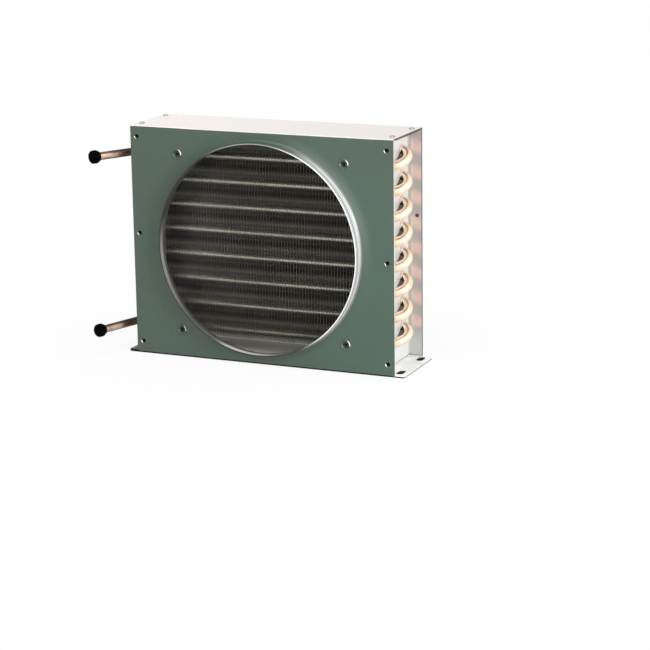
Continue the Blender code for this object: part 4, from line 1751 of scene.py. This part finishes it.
@dataclass
class FinPack:
    """Pack of thin aluminium fins, each with a drawn collar round every tube."""

    circuit: Circuit
    pitch: float = 0.003175
    wall: float = 0.00014
    collar_sides: int = 12
    collar_clear: float = 0.00008
    collar_gap: float = 0.0003
    flare: float = 0.0004
    flare_length: float = 0.0004
    skirt: float = 0.0025
    pieces: int = 6
    fins_per_piece: int = 13
    nodes: int = 20
    stock: Finish = field(default_factory=FinStock)

    def tile(self) -> Workpiece:
        """One tube's share of a fin, with its collar drawn towards +X.

        Returns:
            The tile of the lowest front tube, without thickness.
        """
        circuit = self.circuit
        y, z = circuit.tube(circuit.count - 1, 0)
        centre = (0.0, y, circuit.fin_low + circuit.pitch / 2)
        size = (0, circuit.row_pitch, circuit.pitch)
        tile = Workpiece.sheet("fin_tile", Facing.X, centre, size)
        radius = circuit.radius + self.collar_clear + self.wall
        length = self.pitch - self.collar_gap
        with tile.bench("FACE"):
            bpy.ops.mesh.select_all(action="SELECT")
            bpy.ops.mesh.delete(type="ONLY_FACE")
            add_ring(radius, (0.0, y, z), Facing.X.value, self.collar_sides)
            bpy.ops.mesh.select_all(action="SELECT")
            bpy.ops.mesh.fill(use_beauty=True)
            bpy.ops.mesh.select_mode(type="EDGE")
            near = PICK_DISTANCE
            tile.pick(lambda point: abs(math.hypot(point.y - y, point.z - z) - radius) < near)
            end = self.flare_length
            for step, grow in ((length - end, 1.0), (end, 1.0 + self.flare / radius)):
                shift = {"value": (step, 0.0, 0.0)}
                bpy.ops.mesh.extrude_edges_move(TRANSFORM_OT_translate=shift)
                bpy.ops.transform.resize(value=(grow,) * 3, center_override=(length, y, z))
        return tile

    def fin(self) -> Workpiece:
        """One whole fin: a column of tiles for each row of tubes.

        Returns:
            The fin at X = 0.
        """
        circuit = self.circuit
        merge = {"use_merge_vertices": True, "merge_threshold": MERGE_DISTANCE}
        column = self.tile().array(circuit.count, (0.0, 0.0, circuit.pitch), **merge)
        middle = Vector((
            0.0,
            circuit.rows_front + circuit.row_pitch / 2,
            circuit.fin_low + circuit.count * circuit.pitch / 2,
        ))
        turn = Matrix.Translation(middle) @ Matrix.Rotation(math.pi, 4, "X")
        rear = column.copy("fin_rear", turn @ Matrix.Translation(-middle))
        fin = column.join([rear]).fuse()
        with fin.bench("VERT"):
            fin.pick(lambda point: point.z < circuit.fin_low + MERGE_DISTANCE)
            bpy.ops.transform.translate(value=(0.0, 0.0, -self.skirt))
        return fin.thicken(self.wall, 0.0)

    def build(self) -> None:
        """Make the pack as a few pieces of neighbouring fins."""
        fin = self.fin()
        total = self.pieces * self.fins_per_piece
        start = -(total - 1) / 2 * self.pitch
        first = fin.copy("fin_pack_1", (start, 0.0, 0.0))
        first.array(self.fins_per_piece, (self.pitch, 0.0, 0.0))
        fin.scrap()
        reach = self.fins_per_piece * self.pitch
        steps = [(number * reach, 0.0, 0.0) for number in range(1, self.pieces)]
        for number, piece in enumerate(first.series("fin_pack_{}", steps)):
            own = [i + 1 for i in range(self.nodes) if i * self.pieces // self.nodes == number]
            piece.dress(self.stock, *(f"fin_plate_{i:02d}" for i in own))


@dataclass
class TubeCircuit:
    """Copper hairpins, return bends, connection pipes and their rubber caps."""

    case: Case
    circuit: Circuit
    seat: float = 0.0028
    sides: int = 28
    bend_steps: int = 20
    smooth: float = 50.0
    pipe_radius: float = 0.004
    pipe_bend: float = 0.014
    inlet: tuple[float, float, float] = (0.0233, 0.0563, 27.0)
    outlet: tuple[float, float, float] = (0.0276, 0.0605, 17.7)
    cap_radius: float = 0.0068
    cap_skirt: float = 0.0053
    cap_length: float = 0.0091
    cap_cavity: float = 0.0056
    cap_hole: float = 0.003
    least_run: float = 0.0001
    copper: Finish = field(default_factory=DrawnCopper)
    pipe_copper: Finish = field(default_factory=PipeCopper)
    rubber: Finish = field(default_factory=CapRubber)

    @property
    def mouth(self) -> float:
        """Distance of the bell mouths from the middle."""
        return self.case.web + self.circuit.shoulder + self.circuit.bell

    def bell_in(self, pen: RingPen) -> None:
        """Draw a bell mouth from inside its socket, round its lip and down its shoulder."""
        c = self.circuit
        pen.runs(
            (-(c.bell - 0.0006), c.socket_radius),
            (-0.0002, c.socket_radius + 0.0001),
            (-0.0002, (c.socket_radius + c.bell_radius) / 2),
            (0.0001, c.bell_radius - 0.0001),
            (0.0003, c.bell_radius),
            (c.bell - 0.0010, c.bell_radius),
            (c.shoulder * 0.5, (c.radius + c.bell_radius) / 2),
            (c.shoulder * 0.5, c.radius),
        )

    def bell_out(self, pen: RingPen) -> None:
        """Draw a bell mouth at the end of a leg, and back into its socket."""
        c = self.circuit
        pen.runs(
            (c.shoulder * 0.5, (c.radius + c.bell_radius) / 2),
            (c.shoulder * 0.5, c.bell_radius),
            (c.bell - 0.0004, c.bell_radius),
            (0.0003, c.bell_radius - 0.0001),
            (0.0001, (c.socket_radius + c.bell_radius) / 2),
            (-0.0002, c.socket_radius + 0.0001),
            (-0.0002, c.socket_radius),
            (-(c.bell - 0.0010), c.socket_radius),
        )

    def hairpins(self) -> None:
        """Hairpins with their U-bends on the right, one modelled and seven copied."""
        c = self.circuit
        low_y, low_z = c.tube(0, 0)
        high_y, high_z = c.tube(0, 1)
        toward = Vector((0.0, high_y - low_y, high_z - low_z))
        inside = -(self.mouth - c.bell + 0.0004)
        pen = RingPen("hairpin_1_dressed", (inside, low_y, low_z), (1, 0, 0),
                      c.socket_radius, self.sides)
        self.bell_in(pen)
        pen.run(self.case.web - self.seat - pen.at.x)
        pen.bend(toward, toward.length / 2, math.pi, self.bend_steps)
        pen.run(pen.at.x + self.case.web)
        self.bell_out(pen)
        steps = [(0.0, 0.0, -i * c.pitch) for i in range(1, c.count)]
        for number, piece in enumerate(pen.lift().series("hairpin_{}_dressed", steps), start=1):
            piece.dress(self.copper, f"hairpin_{number}", smooth=self.smooth)

    def braze(self, pen: RingPen) -> None:
        """Draw the fillet of brazing metal where a tube enters its bell."""
        c = self.circuit
        pen.run(self.mouth + pen.at.x + 0.0003)
        pen.runs(
            (0.0, c.bell_radius - 0.00015),
            (0.0003, c.bell_radius - 0.0003),
            (0.0004, c.radius + 0.0003),
            (0.0005, c.radius + 0.0001),
            (0.0005, c.radius),
        )

    def return_bends(self) -> None:
        """Bends that join the hairpins on the left, by turns in the rear and front row."""
        c = self.circuit
        start = -(self.case.web + c.shoulder + self.case.gap)
        apex = self.mouth + self.case.gap
        y, z = c.tube(0, 1)
        pen = RingPen("return_bend_1_dressed", (start, y, z), (-1, 0, 0), c.radius, self.sides)
        self.braze(pen)
        pen.run(max(self.least_run, apex + pen.at.x))
        pen.bend(Vector((0, 0, -1)), c.pitch / 2, math.pi, self.bend_steps)
        pen.runs(
            (max(self.least_run, -pen.at.x - self.mouth - 0.0017), c.radius),
            (0.0005, c.radius + 0.0001),
            (0.0005, c.radius + 0.0003),
            (0.0004, c.bell_radius - 0.0003),
            (0.0003, c.bell_radius - 0.00015),
            (0.0, c.radius),
        )
        pen.run(start - pen.at.x)
        tubes = [c.tube(index, 1 - index % 2) for index in range(1, c.count - 1)]
        steps = [(0.0, ty - y, tz - z) for ty, tz in tubes]
        first = pen.lift().dress(self.copper, "return_bend_1", smooth=self.smooth)
        # Copied after it is dressed, so each copy also stands for return_bend_1.
        copies = first.series("return_bend_{}_dressed", steps)[1:]
        for number, piece in enumerate(copies, start=2):
            piece.dress(self.copper, f"return_bend_{number}", smooth=self.smooth)

    def pipe(self, name: str, index: int, route: tuple[float, float, float]) -> None:
        """Connection pipe with its cap.

        Args:
            name: inlet or outlet.
            index: the front-row tube that it joins.
            route: reach to the left, length forward and splay in degrees.
        """
        c, case = self.circuit, self.case
        reach, forward, splay = route[0], route[1], math.radians(route[2])
        y, z = c.tube(index, 0)
        start = -(case.web + c.shoulder + case.gap)
        pen = RingPen(f"{name}_pipe_dressed", (start, y, z), (-1, 0, 0), c.radius, self.sides)
        self.braze(pen)
        pen.run(0.0015, self.pipe_radius + 0.0002)
        pen.run(0.0015, self.pipe_radius)
        turn = math.pi / 2 - splay
        tangent = self.pipe_bend * math.tan(turn / 2)
        corner = -(case.web + reach)
        ahead = pen.at.x - corner - tangent
        pen.run(ahead if ahead > 0.0 else self.least_run)
        pen.bend(Vector((0, -1, 0)), self.pipe_bend, turn, self.bend_steps // 2)
        pen.run(forward - tangent)
        end, heading = pen.at.copy(), pen.heading.copy()
        pen.lift().dress(self.pipe_copper, f"{name}_pipe", smooth=self.smooth)
        self.cap(name, end, heading)

    def cap(self, name: str, end: Vector, heading: Vector) -> None:
        """Rubber cap with a beaded end.

        Args:
            name: inlet or outlet.
            end: the pipe's free end.
            heading: the direction that it points in.
        """
        base = end - heading * (self.cap_cavity - self.case.gap)
        hole = self.pipe_radius + 0.0001
        r, skirt, long = self.cap_radius, self.cap_skirt, self.cap_length
        inner = base + heading * self.cap_hole
        pen = RingPen(f"{name}_cap_dressed", inner, heading, hole, 32)
        pen.run(-self.cap_hole, hole)
        pen.run(0.0, skirt - 0.0003)
        pen.profile([(0.0002, skirt), (0.0009, skirt + 0.0002), (0.0019, skirt + 0.0008),
                     (0.0027, r - 0.0002), (0.0037, r), (long * 0.72, r),
                     (long * 0.85, r * 0.965), (long * 0.94, r * 0.87), (long * 0.98, r * 0.72),
                     (long, r * 0.5), (long, r * 0.32), (long - 0.0002, r * 0.26),
                     (long - 0.0003, r * 0.1)])
        pen.lift().dress(self.rubber, f"{name}_cap", smooth=self.smooth)

    def build(self) -> None:
        """Make every tube, bend, pipe and cap."""
        self.hairpins()
        self.return_bends()
        self.pipe("inlet", 0, self.inlet)
        self.pipe("outlet", self.circuit.count - 1, self.outlet)


# ------------------------------------------------------------------------ studio


@dataclass(frozen=True)
class Softbox:
    """A rectangular lamp that looks at a point."""

    name: str
    place: Colour
    target: Colour
    size: tuple[float, float]
    power: float

    def build(self) -> None:
        """Add the lamp."""
        lamp = bpy.data.lights.new(self.name, "AREA")
        lamp.shape = "RECTANGLE"
        lamp.size, lamp.size_y = self.size
        lamp.energy = self.power
        holder = bpy.data.objects.new(self.name, lamp)
        bpy.context.scene.collection.objects.link(holder)
        look = Vector(self.target) - Vector(self.place)
        turn = look.to_track_quat("-Z", "Y").to_matrix().to_4x4()
        holder.matrix_world = Matrix.Translation(self.place) @ turn


@dataclass
class Studio:
    """Floor, white surroundings, lamps and camera."""

    floor_size: float = 40.0
    floor_drop: float = 0.0003
    footprint: tuple[float, float] = (0.1508, 0.0380)
    footprint_blur: float = 0.001
    ambient: float = 0.42
    boxes: tuple[Softbox, ...] = (
        Softbox("key_box", (1.9, -0.95, 0.69), (0.0, 0.0, 0.12), (1.0, 1.0), 35.0),
        Softbox("top_box", (0.1, -0.2, 1.7), (0.0, 0.0, 0.1), (1.2, 1.0), 9.0),
        Softbox("front_box", (-0.3, -1.9, 0.9), (0.0, 0.0, 0.1), (1.0, 1.0), 11.0),
    )
    lens: float = 120.285
    sensor: float = 36.0
    view_end: float = 50.0
    camera_place: Colour = (0.89318, -1.94221, 0.57346)
    camera_right: Colour = (0.9188, 0.3946, -0.0136)
    camera_up: Colour = (-0.0850, 0.2313, 0.9691)
    camera_forward: Colour = (-0.3855, 0.8892, -0.2461)

    def seen_directly(self, graph: Graph) -> Signal:
        """1 where the camera, a reflection or a see-through ray meets the surroundings."""
        names = ("Is Camera Ray", "Is Glossy Ray", "Is Transmission Ray")
        first, *others = (graph.node("ShaderNodeLightPath", output=name) for name in names)
        for other in others:
            first = first.or_more(other)
        return first

    def world(self) -> None:
        """White surroundings that light the object evenly."""
        world = bpy.context.scene.world or bpy.data.worlds.new("studio")
        bpy.context.scene.world = world
        world.use_nodes = True
        graph = Graph(world.node_tree)
        seen = self.seen_directly(graph)
        strength = self.ambient + (1.0 - self.ambient) * seen
        inputs = {"Color": (1.0, 1.0, 1.0), "Strength": strength}
        light = graph.node("ShaderNodeBackground", None, inputs)
        graph.node("ShaderNodeOutputWorld", None, {"Surface": light})

    def floor(self) -> None:
        """Pale floor, white to the camera with a soft shadow, and painted near black under the base
        as a painted shadow.
        """
        start_fresh()
        bpy.ops.mesh.primitive_plane_add(size=self.floor_size, location=(0, 0, -self.floor_drop))
        ground = bpy.context.active_object
        ground.name = "studio_floor"
        material = bpy.data.materials.new("studio_floor")
        material.use_nodes = True
        graph = Graph(material.node_tree)
        tone = graph.noise(3.0, 2.0).ramp(0.2, 0.9)
        colour = graph.blend(tone, (0.90, 0.90, 0.90), (0.92, 0.92, 0.92))
        glow = {"Color": (1.0, 1.0, 1.0), "Strength": 1.0}
        white = graph.node("ShaderNodeEmission", None, glow)
        x, y, _ = graph.axes()
        # Under the base the floor is painted near black, a painted shadow that shows through the
        # base's slots.
        across, along = (1.0 - abs(place).ramp(reach - self.footprint_blur, reach)
                         for place, reach in zip((x, y), self.footprint))
        under = across * along
        colour = graph.blend(under, colour, (0.01, 0.01, 0.01))
        far = (x ** 2.0 + y ** 2.0).ramp(0.02, 0.12)
        share = (0.90 + 0.10 * far) * self.seen_directly(graph) * (1.0 - under)
        matt = graph.node("ShaderNodeBsdfDiffuse", None, {"Color": colour})
        mixed = graph.node("ShaderNodeMixShader", None, {0: share, 1: matt, 2: white})
        graph.node("ShaderNodeOutputMaterial", None, {"Surface": mixed})
        ground.data.materials.append(material)

    def camera(self) -> None:
        """Camera at the photograph's viewing angle."""
        lens = bpy.data.cameras.new("studio_camera")
        lens.lens = self.lens
        lens.sensor_width = self.sensor
        lens.sensor_fit = "HORIZONTAL"
        lens.clip_end = self.view_end
        holder = bpy.data.objects.new("studio_camera", lens)
        bpy.context.scene.collection.objects.link(holder)
        back = -Vector(self.camera_forward)
        axes = Matrix((self.camera_right, self.camera_up, tuple(back))).transposed()
        turn = axes.to_quaternion().normalized().to_matrix().to_4x4()
        holder.matrix_world = Matrix.Translation(self.camera_place) @ turn
        bpy.context.scene.camera = holder

    def build(self) -> None:
        """Set up the studio."""
        bpy.context.scene.view_settings.view_transform = "Standard"
        self.world()
        self.floor()
        for box in self.boxes:
            box.build()
        self.camera()


def main() -> None:
    """Build the sub-assemblies and the studio in order."""
    logging.basicConfig(level=logging.INFO, format="%(name)s: %(message)s")
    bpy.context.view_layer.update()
    case, circuit = Case(), Circuit()
    Studio().build()
    FanPanel(case).build()
    EndPlates(case, circuit).build()
    CoverPlates(case).build()
    FinPack(circuit).build()
    TubeCircuit(case, circuit).build()


if __name__ == "__main__":
    main()
